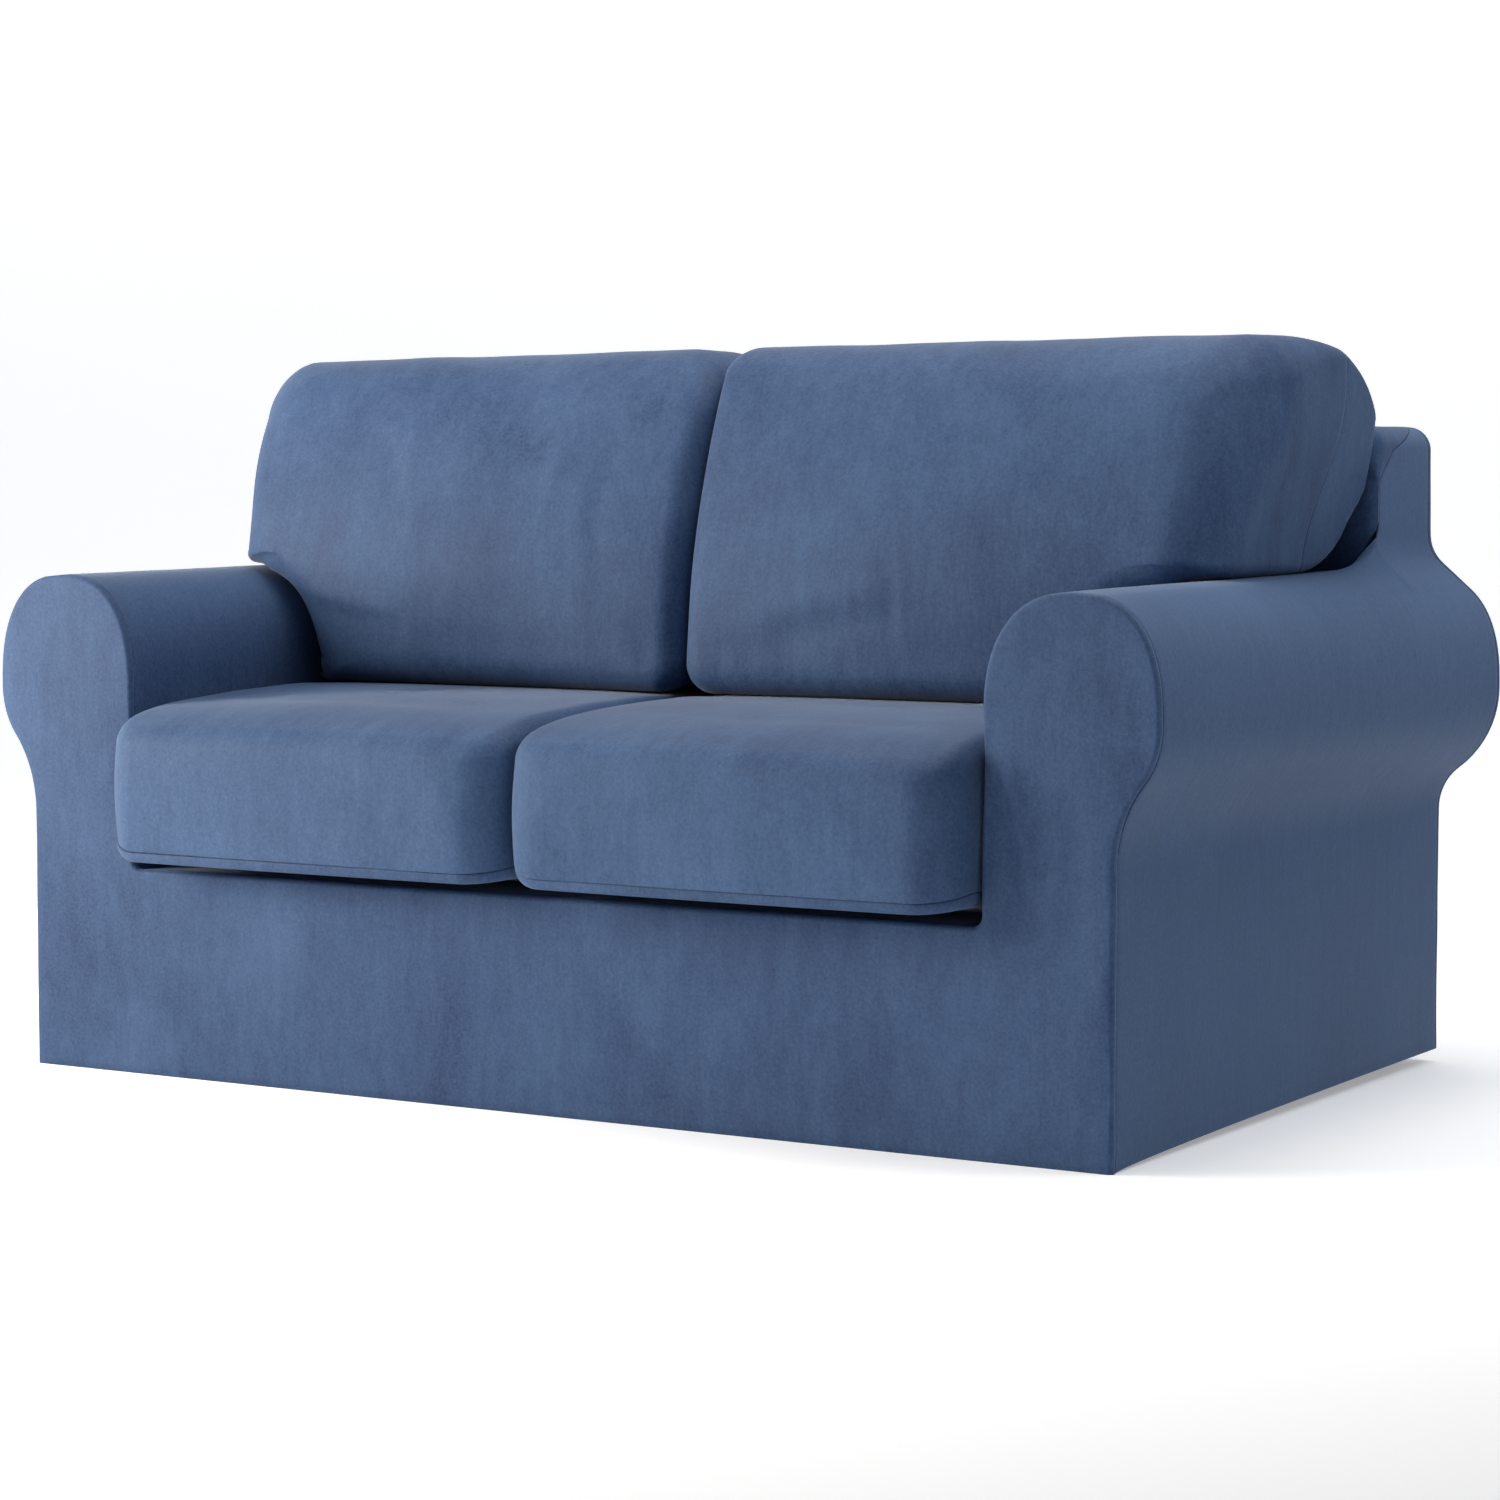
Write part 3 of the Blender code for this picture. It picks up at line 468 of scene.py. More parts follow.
def flare(count):
    """Behind the frame's front: a hollow curve from the roll's outer top up to the frame's end."""
    before, start, after = roll_arc(REAR_Y, ROLL_REACH[1], FLARE_ANGLE - 1, FLARE_ANGLE + 1, 2)
    slope = math.atan2(after[1] - before[1], before[0] - after[0])
    turn = math.pi / 2 - slope
    straight = (start[0] - BACK_HALF - FLARE_RADIUS * (1 - math.cos(turn))) / math.cos(slope)
    height = start[1] + straight * math.sin(slope) + FLARE_RADIUS * math.sin(turn)
    centre = (BACK_HALF + FLARE_RADIUS, height)
    bow = arc(centre, (FLARE_RADIUS, FLARE_RADIUS), 180 + math.degrees(turn), 180, count // 2)
    low = bow[0]
    run = [(mix(start[0], low[0], s), mix(start[1], low[1], s)) for s in steps(0, 1, count - count // 2)]
    return run[:-1] + bow


def saddle(y):
    """0 on the plain arm, 1 from the frame's front on."""
    end = BACKREST_Y - 2 * LEAD
    share = min(max((y - SADDLE_START_Y) / (end - SADDLE_START_Y), 0.0), 1.0)
    return 1 - math.sqrt(1 - share * share)


def hem_z(y):
    """Height of the hem, which rides up towards the rear."""
    return HEM_RISE * math.sqrt(max(0.0, y - FRONT_Y - FRONT_EDGE) / (REAR_Y - FRONT_Y))


def outer_side(y):
    """The arm's section from the hem up its outer side to the ridge that climbs to the frame's end."""
    reach = roll_values(y)[0]
    hollow = mix(*NECK_RADIUS, (y - FRONT_Y) / (REAR_Y - FRONT_Y))
    neck_x = SKIRT_HALF + hollow
    neck_z = ROLL_Z - math.sqrt((reach + hollow) ** 2 - (neck_x - ROLL_X) ** 2)
    turn = math.degrees(math.atan2(ROLL_Z - neck_z, neck_x - ROLL_X))
    hem = hem_z(y)
    side = [(SKIRT_HALF, hem + rise) for rise in HEM_ROWS]
    side += [(SKIRT_HALF, z) for z in steps(hem + HEM_FOLD + 0.004, neck_z, 22)]
    neck = arc((neck_x, neck_z), (hollow, hollow), 180, 180 - turn, 12)
    under = arc((ROLL_X, ROLL_Z), (reach, reach), -turn, 0, 10)
    over = roll_arc(y, reach, 0, FLARE_ANGLE, 16)
    low = roll_arc(y, reach, FLARE_ANGLE, RIDGE_ANGLE, 12)
    share = saddle(y)
    ridge = [(mix(a[0], b[0], share), mix(a[1], b[1], share)) for a, b in zip(low, flare(12))]
    return side + neck[1:] + under[1:] + over[1:] + ridge[1:]


def over_arm(y):
    """The section from the ridge over the arm and down its inner face to the deck."""
    inner = roll_arc(y, ROLL_X - ARM_INNER, 90, 180, 24)
    face = [(ARM_INNER, z) for z in steps(ROLL_Z, DECK_Z + DECK_FILLET, 14)]
    foot = arc((ARM_INNER - DECK_FILLET, DECK_Z + DECK_FILLET), (DECK_FILLET, DECK_FILLET), 0, -90, 5)
    return [outer_side(y)[-1]] + inner + face[1:] + foot[1:]


def rim_rows(path, normal, radii, wall_y, towards, rounds=6, closed=False):
    """Rows round a soft edge: from the flat face at wall_y out to the path, then a lead to the seam."""
    rows = []
    for turn in steps(0, 90, rounds):
        inward = 1 - math.sin(math.radians(turn))
        back = 1 - math.cos(math.radians(turn))
        moved = inset(path, normal, [r * inward for r in radii])
        rows.append([(x, wall_y + towards * r * back, z) for (x, z), r in zip(moved, radii)])
    for share in (0.5, 1):
        rows.append([(x, wall_y + towards * (r + LEAD * share), z) for (x, z), r in zip(path, radii)])
    return rows


def front_hem(co):
    return co.z < 0.0005


half_front = outer_side(FRONT_Y) + over_arm(FRONT_Y)[1:]
deck_edge = [(x, DECK_Z) for x in steps(half_front[-1][0], -half_front[-1][0], 60)]
front_path = half_front + deck_edge[1:-1] + mirrored(half_front)
front_normal = normals(front_path)
front_radii = [FRONT_EDGE] * len(front_path)
front_bm = bmesh.new()
add_strip(front_bm, rim_rows(front_path, front_normal, front_radii, FRONT_Y, 1))
front_face = inset(front_path, front_normal, front_radii)
front_foot = [(x, 0.0) for x in steps(front_face[-1][0], front_face[0][0], 100)]
add_fill(front_bm, front_face + front_foot[1:-1], FRONT_SPACING, lambda x, z: (x, FRONT_Y, z))

# Each crease: its line, its width and its height, which is below 0 for a trough
FRONT_FOLDS = [
    ([(0.606, FRONT_Y, 0.47), (0.612, FRONT_Y, 0.40), (0.632, FRONT_Y, 0.345), (0.650, FRONT_Y, 0.285)],
     0.014, -0.0035),
    ([(0.628, FRONT_Y, 0.46), (0.640, FRONT_Y, 0.39), (0.664, FRONT_Y, 0.33)], 0.016, 0.0020),
    ([(-0.606, FRONT_Y, 0.46), (-0.615, FRONT_Y, 0.38), (-0.640, FRONT_Y, 0.30)], 0.016, -0.0020),
    ([(0.745, FRONT_Y, 0.40), (0.748, FRONT_Y, 0.25), (0.750, FRONT_Y, 0.08)], 0.012, 0.0010),
    ([(0.752, FRONT_Y, 0.135), (0.757, FRONT_Y, 0.09), (0.752, FRONT_Y, 0.045)], 0.007, -0.0022),
    ([(-0.42, FRONT_Y, 0.21), (-0.30, FRONT_Y, 0.225), (-0.16, FRONT_Y, 0.215)], 0.030, 0.0014),
    ([(0.10, FRONT_Y, 0.17), (0.16, FRONT_Y, 0.10), (0.19, FRONT_Y, 0.04)], 0.022, -0.0016),
    ([(0.26, FRONT_Y, 0.16), (0.22, FRONT_Y, 0.09), (0.19, FRONT_Y, 0.04)], 0.020, -0.0014),
    ([(0.42, FRONT_Y, 0.20), (0.48, FRONT_Y, 0.16), (0.56, FRONT_Y, 0.19)], 0.028, 0.0014),
    ([(0.800, FRONT_Y, 0.50), (0.790, FRONT_Y, 0.42), (0.768, FRONT_Y, 0.36)], 0.016, -0.0018),
]
# The front velvet's panel setting, a little below 0, is painted shade, and its height setting paints the
# panel paler from 0.20 m to 0.45 m up, painted light from above.
cloth_panel(
    front_bm, "front_panel", (0, 0, 0.1),
    velvet("velvet_front", STROKES_UPRIGHT, -0.03, painted_light_by_height=(0.20, 0.45, 0.10)),
    folds=FRONT_FOLDS, hems=front_hem, ripple=0.0009,
    quiet=lambda co: smooth((co.z + 0.002) / HEM_CALM),
)

# The arm panels ------------------------------
# One piece for each arm, from the hem up the outer side, over the roll and down to the deck. Behind
# the arm it climbs in a hollow curve to the end of the back frame, where slanting seams join it to
# the back.

BACK_TOP = 0.812
BACK_CORNER = 0.030
BACKREST_EDGE = 0.020
REAR_EDGE = (0.012, 0.027)
CORNER_SEAM = 0.085
CORNER_SEAM_Z = 0.740
SLANT_SEAM = 0.0012
ARM_POINT = 0.7          # how far the arm panel's last point reaches towards the top seam


def frame_end():
    """The section from the top of the flare up the end of the back frame and round its top corner."""
    start = flare(12)[-1][1]
    upright = [(BACK_HALF, z) for z in steps(start, CORNER_SEAM_Z, 6)[:-1]]
    upright += [(BACK_HALF, z) for z in steps(CORNER_SEAM_Z, BACK_TOP - BACK_CORNER, 5)]
    corner = arc((BACK_HALF - BACK_CORNER, BACK_TOP - BACK_CORNER), (BACK_CORNER, BACK_CORNER), 0, 90, 14)
    return upright, corner[1:]


def rear_radius(z):
    return mix(*REAR_EDGE, smooth((z - ROLL_Z - 0.09) / 0.12))


def rear_seam_y(z):
    """Where the outer back's edge ends and the side and top panels begin."""
    return REAR_Y - rear_radius(z) - LEAD


def backrest_edge():
    """Along the back frame's end and top: points, radii of the front edge, and depths of the seam."""
    upright, corner = frame_end()
    path = upright + corner
    radii, seams = [], []
    for i, (x, z) in enumerate(path):
        grown = min(max((z - CORNER_SEAM_Z) / (BACK_TOP - BACK_CORNER - CORNER_SEAM_Z), 0.0), 1.0)
        radii.append(BACKREST_EDGE * grown)
        wrap = CORNER_SEAM * min(max((z - CORNER_SEAM_Z) / (BACK_TOP - CORNER_SEAM_Z), 0.0), 1.0)
        turned = max(0, i - len(upright) + 1) / len(corner)
        seams.append(mix(BACKREST_Y + wrap, rear_seam_y(z), turned))
    return path, radii, seams


def arm_panel(side, finish, folds):
    bm = bmesh.new()
    front = FRONT_Y + FRONT_EDGE + LEAD + SEAM
    split = BACKREST_Y - SEAM
    end = BACKREST_Y - 2 * LEAD
    depths = [front + d for d in (0, 0.0015, 0.003, 0.006, 0.010, 0.015)]
    depths += steps(front + 0.024, SADDLE_START_Y, 46)
    depths += [mix(SADDLE_START_Y, end, math.sin(math.radians(a))) for a in steps(0, 90, 14)][1:] + [split]
    add_strip(bm, [[(x, y, z) for x, z in outer_side(y) + over_arm(y)[1:]] for y in depths])
    outer = outer_side(REAR_Y)
    path, _, seams = backrest_edge()
    columns = [(p, split) for p in outer]
    columns += [(p, max(s, BACKREST_Y + CLOTH) + SLANT_SEAM) for p, s in zip(path[1:-1], seams[1:-1])]
    rows = []
    for share in (0, 0.02, 0.05, 0.1, 0.2, 0.3, 0.4, 0.5, 0.6, 0.7, 0.8, 0.88, 0.94, 0.975, 0.99, 1):
        row = []
        for i, ((x, z), start) in enumerate(columns):
            y = mix(start, rear_seam_y(z) - SEAM, share)
            if i < len(outer):
                x, z = outer_side(y)[i]
            row.append((x, y, z))
        rows.append(row)
    add_strip(bm, rows)
    # The strip closes to a point where the slanting seam meets the top seam
    last, top = path[-2], path[-1]
    x, z = mix(last[0], top[0], ARM_POINT), mix(last[1], top[1], ARM_POINT)
    y = (mix(seams[-2], seams[-1], ARM_POINT) + rear_seam_y(z)) / 2
    point = bm.verts.new((x, y, z))
    rim = [bm.verts.new(row[-1]) for row in rows]
    for first, second in zip(rim, rim[1:]):
        bm.faces.new((first, point, second))
    name = "arm_panel_right" if side > 0 else "arm_panel_left"
    return cloth_panel(
        bm, name, (ROLL_X, 0, 0.3), finish, side, folds=folds,
        hems=lambda co: co.z < HEM_FREE_Z, ripple=0.0007,
        quiet=lambda co: smooth((co.z - hem_z(co.y) + 0.002) / HEM_CALM),
    )


ARM_FOLDS_RIGHT = [
    ([(0.763, -0.30, 0.022), (0.763, 0.10, 0.028), (0.763, 0.46, 0.033)], 0.004, -0.0008),
    ([(0.80, 0.05, 0.60), (0.79, 0.20, 0.605), (0.775, 0.30, 0.625)], 0.035, 0.0015),
    ([(0.763, -0.36, 0.14), (0.763, -0.30, 0.10), (0.763, -0.22, 0.09)], 0.020, 0.0012),
    ([(0.775, -0.38, 0.36), (0.770, -0.10, 0.35), (0.772, 0.20, 0.35)], 0.030, -0.0012),
]
ARM_FOLDS_LEFT = [
    ([(-0.763, -0.30, 0.022), (-0.763, 0.10, 0.028), (-0.763, 0.46, 0.033)], 0.004, -0.0008),
    ([(-0.602, -0.30, 0.42), (-0.602, -0.10, 0.44), (-0.602, 0.10, 0.46)], 0.030, 0.0015),
    ([(-0.66, -0.20, 0.617), (-0.64, -0.05, 0.60), (-0.62, 0.05, 0.57)], 0.025, -0.0012),
]
# Both arm velvets carry painted light and shade: the right arm a little lighter and paler from 0.42 m up,
# the left one much darker overall, painted shade for its inner face, and paler from 0.50 m up.
arm_panel(
    1, velvet("velvet_arm_right", STROKES_OVER, 0.03, (3.1, 0.4, 1.7), (0.42, 0.58, 0.36), 0.3),
    ARM_FOLDS_RIGHT,
)
arm_panel(
    -1, velvet("velvet_arm_left", STROKES_OVER, -0.20, (1.1, 5.4, 0.7), (0.50, 0.62, 0.42), 0.5),
    ARM_FOLDS_LEFT,
)

# The back of the base cover ------------------
# The inside back runs from the deck up behind the cushions, over the top rail and round its ends.
# The outer back is one plain piece from the top seam down to the hem, soft at its edges.

INSIDE_BACK_SPACING = 0.016
OUTER_BACK_SPACING = 0.014

arm_end = over_arm(BACKREST_Y)
under_arm = inset(arm_end, normals(arm_end), [CLOTH] * len(arm_end))
back_edge, back_radii, back_seams = backrest_edge()
tuck = inset(back_edge, normals(back_edge), [CLOTH + SEAM] * len(back_edge))[1]
low_edge = [(x, DECK_Z - CLOTH) for x in steps(0.0, under_arm[-1][0], 30)] + under_arm[-2:0:-1] + [tuck]
top_rail = [(x, BACK_TOP) for x in steps(back_edge[-1][0], 0, 40)]
half_edge = back_edge[2:] + top_rail[1:]
half_radii = back_radii[2:] + [BACKREST_EDGE] * (len(top_rail) - 1)
half_seams = back_seams[2:] + [rear_seam_y(BACK_TOP)] * (len(top_rail) - 1)
whole_edge = half_edge + mirrored(half_edge)[1:]
whole_radii = half_radii + half_radii[-2::-1]
whole_seams = half_seams + half_seams[-2::-1]
whole_normal = normals(whole_edge)
inside_bm = bmesh.new()
inside_rows = rim_rows(whole_edge, whole_normal, whole_radii, BACKREST_Y, 1)[:-2]
for reached in (0.15, 0.3, 0.45, 0.6, 0.75, 0.88, 0.95, 0.98, 1):
    inside_rows.append([
        (x, mix(BACKREST_Y + r, max(s - SLANT_SEAM, BACKREST_Y + r), reached), z)
        for (x, z), r, s in zip(whole_edge, whole_radii, whole_seams)
    ])
add_strip(inside_bm, inside_rows)
inside_face = low_edge + inset(whole_edge, whole_normal, whole_radii) + mirrored(low_edge)[:-1]
add_fill(inside_bm, inside_face, INSIDE_BACK_SPACING, lambda x, z: (x, BACKREST_Y, z))
TOP_FOLDS = [
    ([(0.70, 0.40, 0.81), (0.40, 0.42, 0.81), (0.05, 0.41, 0.81)], 0.03, -0.0012),
    ([(-0.70, 0.41, 0.81), (-0.30, 0.40, 0.81)], 0.03, -0.0010),
]
cloth_panel(
    inside_bm, "inside_back_panel", (0, 0.45, 0.4),
    velvet("velvet_inside_back", STROKES_UPRIGHT, offset=(7, 2, 0)),
    folds=TOP_FOLDS, quiet=lambda co: smooth((co.z - 0.66) / 0.05),
)

rear_upright, rear_corner = frame_end()
rear_half = outer_side(REAR_Y) + rear_upright[1:] + rear_corner
rear_top = [(x, BACK_TOP) for x in steps(rear_half[-1][0], -rear_half[-1][0], 80)]
rear_path = rear_half + rear_top[1:-1] + mirrored(rear_half)
rear_normal = normals(rear_path)
rear_radii = [rear_radius(z) for _, z in rear_path]
rear_bm = bmesh.new()
add_strip(rear_bm, rim_rows(rear_path, rear_normal, rear_radii, REAR_Y, -1, rounds=9))
rear_face = inset(rear_path, rear_normal, rear_radii)
rear_foot = [(x, hem_z(REAR_Y)) for x in steps(rear_face[-1][0], rear_face[0][0], 100)]
add_fill(rear_bm, rear_face + rear_foot[1:-1], OUTER_BACK_SPACING, lambda x, z: (x, REAR_Y, z))
REAR_FOLDS = [
    ([(-0.70, REAR_Y, 0.034), (0.0, REAR_Y, 0.034), (0.70, REAR_Y, 0.034)], 0.004, -0.0008),
    ([(0.74, REAR_Y, 0.62), (0.66, REAR_Y, 0.52), (0.62, REAR_Y, 0.36)], 0.030, 0.0020),
    ([(-0.74, REAR_Y, 0.62), (-0.67, REAR_Y, 0.50), (-0.64, REAR_Y, 0.34)], 0.030, 0.0018),
    ([(0.50, REAR_Y, 0.72), (0.10, REAR_Y, 0.70), (-0.40, REAR_Y, 0.73)], 0.040, -0.0014),
]
cloth_panel(
    rear_bm, "outer_back_panel", (0, 0.3, 0.4),
    velvet("velvet_outer_back", STROKES_UPRIGHT, offset=(2, 9, 4)),
    folds=REAR_FOLDS, hems=lambda co: co.z < HEM_FREE_Z, ripple=0.0012,
    quiet=lambda co: smooth((co.z - 0.01) / HEM_CALM),
)

# The deck ------------------------------------
# The piece under the seat cushions, sewn to the front panel, the arms and the inside back. The
# cushions hide it.

DECK_COUNTS = (56, 36)

deck_half = ARM_INNER - DECK_FILLET - SEAM
deck_front = FRONT_Y + FRONT_EDGE + LEAD + SEAM
deck_bm = bmesh.new()
deck_across = steps(-deck_half, deck_half, DECK_COUNTS[0])
deck_depths = steps(deck_front, BACKREST_Y - SEAM, DECK_COUNTS[1])
add_strip(deck_bm, [[(x, y, DECK_Z) for x in deck_across] for y in deck_depths])
cloth_panel(
    deck_bm, "seat_deck_panel", (0, 0, 0),
    velvet("velvet_seat_deck", STROKES_FORWARD, offset=(5, 5, 5)),
    ripple=0.0, quiet=lambda co: 0.0,
)

# The seat cushion covers ---------------------
# Each is a fitted top with four drops, sewn at its lower edge to a border that turns under the
# cushion and is open below. The cushion fills it, so the top is crowned and its front edge soft.

SEAT_X = (0.0045, 0.5965)
SEAT_Y = (-0.5055, 0.3075)
SEAT_BULGE = 0.004
SEAT_CORNER = (0.055, 0.050)
SEAT_SINK = 0.0002       # its seam lies flat
SEAT_TIGHT = 0.010
SEAT_TOP_EDGE = 0.024
SEAT_LIP = 0.010
SEAT_LIFT = 0.016
SEAT_LIFT_Y = (-0.300, -0.425)
SEAT_CORNER_REACH = 0.055
SEAT_CORNER_LIFT = (0.034, 0.009)
SEAT_TOP = (
    (-0.5055, 0.436), (-0.460, 0.458), (-0.395, 0.470), (-0.270, 0.478), (-0.130, 0.482), (-0.080, 0.4785),
)
SEAT_SOFTENING = (-0.024, -0.012, 0.0, 0.012, 0.024)
SEAT_SIDE_DROP = 0.004
SEAT_HEM = 0.080
SIDE_SWELL = 0.003
SEAT_SPACING = 0.013
SEAT_CALM = (-0.16, 0.05)    # the creases and the unevenness end under the back cushions


def seat_plan(inward=0.0):
    """The cover's outline from above, anticlockwise from its front corner at the gap.

    inward gives a smaller one inside it.
    """
    x0, x1 = SEAT_X[0] + inward, SEAT_X[1] - inward
    y0, y1 = SEAT_Y[0] + inward, SEAT_Y[1] - inward
    front, rear = (max(radius - inward, SEAT_TIGHT) for radius in SEAT_CORNER)
    path = [(x, y0) for x in steps(x0 + front, x1 - front, 40)[1:-1]]
    path += arc((x1 - front, y0 + front), (front, front), -90, 0, 14)
    path += [(x1, y) for y in steps(y0 + front, y1 - rear, 50)[1:-1]]
    path += arc((x1 - rear, y1 - rear), (rear, rear), 0, 90, 12)
    path += [(x, y1) for x in steps(x1 - rear, x0 + rear, 30)[1:-1]]
    path += arc((x0 + rear, y1 - rear), (rear, rear), 90, 180, 12)
    path += [(x0, y) for y in steps(y1 - rear, y0 + front, 50)[1:-1]]
    path += arc((x0 + front, y0 + front), (front, front), 180, 270, 14)
    middle, half = (x0 + x1) / 2, (x1 - x0) / 2
    swollen = []
    for x, y in path:
        forward = smooth((y0 + front - y) / front) * SEAT_BULGE
        swollen.append((x, y - forward * (1 - ((x - middle) / half) ** 2)))
    return swollen


def seat_top(x, y):
    """Height of the crowned top, a soft curve through SEAT_TOP."""
    across = (2 * x - SEAT_X[0] - SEAT_X[1]) / (SEAT_X[1] - SEAT_X[0])
    height = 0.0
    for shift in SEAT_SOFTENING:
        near = np.interp(y + shift, [p[0] for p in SEAT_TOP], [p[1] for p in SEAT_TOP])
        height += near / len(SEAT_SOFTENING)
    return float(height) - SEAT_SIDE_DROP * across ** 4


def seat_bottom(x, y, side):
    """Height of the bottom, whose front edge curls up, and most at its two corners."""
    low, high = SEAT_LIFT_Y
    across = (2 * x - SEAT_X[0] - SEAT_X[1]) / 2
    past = max(0.0, abs(across) - (SEAT_X[1] - SEAT_X[0]) / 2 + SEAT_CORNER_REACH) / SEAT_CORNER_REACH
    corner = SEAT_CORNER_LIFT[0 if across * side < 0 else 1] * (1 - math.sqrt(1 - min(past, 1.0) ** 2))
    return DECK_Z + SEAM + (SEAT_LIFT + corner) * smooth((low - y) / (low - high))


def seat_inside(co, side):
    """Whether a point is at the border's free edge under the cushion."""
    x = co.x * side
    return min(x - SEAT_X[0], SEAT_X[1] - x, co.y - SEAT_Y[0], SEAT_Y[1] - co.y) > SEAT_HEM - 0.005


def seat_calm(co):
    return smooth((SEAT_CALM[0] - co.y) / SEAT_CALM[1])


def seat_cover(side, top_finish, border_finish, folds):
    ending = "right" if side > 0 else "left"
    seam = SEAT_LIP + LEAD
    rows = []
    for share in (0, 0.01, 0.02, 0.04, 0.07, 0.12, 0.2, 0.3, 0.4, 0.5, 0.6, 0.7, 0.8, 0.9, 1):
        plan = seat_plan(-SIDE_SWELL * math.sin(math.pi * share))
        rows.append([
            (x, y, mix(seat_bottom(x, y, side) + seam + SEAM, seat_top(x, y) - SEAT_TOP_EDGE, share))
            for x, y in plan
        ])
    for turn in steps(0, 90, 9)[1:]:
        down = SEAT_TOP_EDGE * (1 - math.sin(math.radians(turn)))
        plan = seat_plan(SEAT_TOP_EDGE * (1 - math.cos(math.radians(turn))))
        rows.append([(x, y, seat_top(x, y) - down) for x, y in plan])
    bm = bmesh.new()
    add_strip(bm, rows, closed=True)
    add_fill(bm, seat_plan(SEAT_TOP_EDGE), SEAT_SPACING, lambda x, y: (x, y, seat_top(x, y)))
    middle = (sum(SEAT_X) / 2, sum(SEAT_Y) / 2, 0.35)
    cloth_panel(
        bm, "seat_cover_top_" + ending, middle, top_finish, side, folds=folds,
        ripple=0.0016, quiet=seat_calm, sink=SEAT_SINK,
    )

    rows = [[(x, y, seat_bottom(x, y, side) + seam) for x, y in seat_plan()]]
    for turn in steps(0, 90, 6):
        down = SEAT_LIP * (1 - math.sin(math.radians(turn)))
        plan = seat_plan(SEAT_LIP * (1 - math.cos(math.radians(turn))))
        rows.append([(x, y, seat_bottom(x, y, side) + down) for x, y in plan])
    for depth in steps(SEAT_LIP, SEAT_HEM, 5)[1:]:
        rows.append([(x, y, seat_bottom(x, y, side)) for x, y in seat_plan(depth)])
    bm = bmesh.new()
    add_strip(bm, rows, closed=True)
    cloth_panel(
        bm, "seat_cover_border_" + ending, middle, border_finish, side,
        hems=lambda co: seat_inside(co, side), ripple=0.0, sink=SEAT_SINK,
    )


SEAT_FOLDS_RIGHT = [
    ([(0.30, -0.51, 0.40), (0.36, -0.51, 0.36), (0.43, -0.51, 0.33)], 0.022, -0.0022),
    ([(0.22, -0.51, 0.37), (0.27, -0.51, 0.33), (0.36, -0.51, 0.305)], 0.020, 0.0016),
    ([(0.09, -0.51, 0.40), (0.06, -0.50, 0.35), (0.08, -0.51, 0.31)], 0.020, 0.0018),
    ([(0.20, -0.38, 0.475), (0.35, -0.36, 0.477), (0.52, -0.38, 0.474)], 0.030, -0.0016),
    ([(0.52, -0.50, 0.42), (0.56, -0.48, 0.37), (0.575, -0.48, 0.31)], 0.022, 0.0018),
]
SEAT_FOLDS_LEFT = [
    ([(-0.52, -0.51, 0.39), (-0.40, -0.51, 0.40), (-0.25, -0.51, 0.385)], 0.030, 0.0018),
    ([(-0.40, -0.51, 0.345), (-0.28, -0.51, 0.335), (-0.18, -0.51, 0.35)], 0.025, -0.0016),
    ([(-0.10, -0.505, 0.42), (-0.07, -0.50, 0.36), (-0.085, -0.505, 0.31)], 0.022, 0.0022),
    ([(-0.45, -0.36, 0.475), (-0.30, -0.34, 0.477), (-0.12, -0.37, 0.474)], 0.030, -0.0014),
]
# The seat tops' velvets carry painted light and shade: the whole cover lighter, which lights the front
# drops, and painted shade on the top face above about 0.45 m that takes most of it back.
seat_cover(
    1, velvet("velvet_seat_top_right", STROKES_FORWARD, 0.17, (6.3, 0, 2), (0.41, 0.47, -0.20)),
    velvet("velvet_seat_border_right", STROKES_FORWARD), SEAT_FOLDS_RIGHT,
)
seat_cover(
    -1, velvet("velvet_seat_top_left", STROKES_FORWARD, 0.15, (1.2, 4, 6), (0.41, 0.47, -0.22)),
    velvet("velvet_seat_border_left", STROKES_FORWARD), SEAT_FOLDS_LEFT,
)

# The back cushion covers ---------------------
# The face wraps over the top and round the sides to a slanting seam. The rear closes the cover, and
# the underside is open between their hems. Each has a wing that lies on the arm, and its face leans
# back and swells in its middle.

CUSHION_X = (0.002, 0.749)
CUSHION_WIDER = {1: 0.000, -1: 0.003}
CUSHION_Z = (0.480, 0.912)
CUSHION_FACE_Y = -0.1150
CUSHION_REAR_Y = 0.3170
CUSHION_LEAN = (0.010, 0.583)
CUSHION_CROWN = 0.022
CUSHION_TOP_BEND = (0.110, 0.112)
CUSHION_LOW_BEND = (0.155, 0.115)
CUSHION_BESIDE_ARM = 0.004
CUSHION_LEDGE_GAP = 0.0010
CUSHION_LEDGE_START = 16
CUSHION_HOLLOW = (18, 14)    # steps in the hollow over the arm, and its points beside the arm
CUSHION_FIT = 0.8            # how much of the wing's height its two corners may take
CUSHION_ROUND = {
    "gap": 0.032, "bottom": 0.030, "foot": 0.050, "arm": 0.100,
    "ledge": 0.034, "wing": 0.062, "corner": 0.078, "outer": 0.106, "top": 0.060,
}
CUSHION_CORNERS = {
    1: {"gap top": 0.026, "gap bottom": 0.040, "arm": 0.032, "ledge": 0.020, "outer top": 0.060},
    -1: {"gap top": 0.075, "gap bottom": 0.040, "arm": 0.032, "ledge": 0.020, "outer top": 0.070},
}
CUSHION_TOP_RISE = {1: 0.005, -1: -0.008}
CUSHION_TOP_RISE_Z = (0.660, 0.200)
CUSHION_WING_TUCK = 0.027
CUSHION_WING_Z = (0.640, 0.190)
CORNER_SHRINK = 0.030
CUSHION_TIGHT = 0.012
CUSHION_SEAM_Y = (0.149, 0.217)
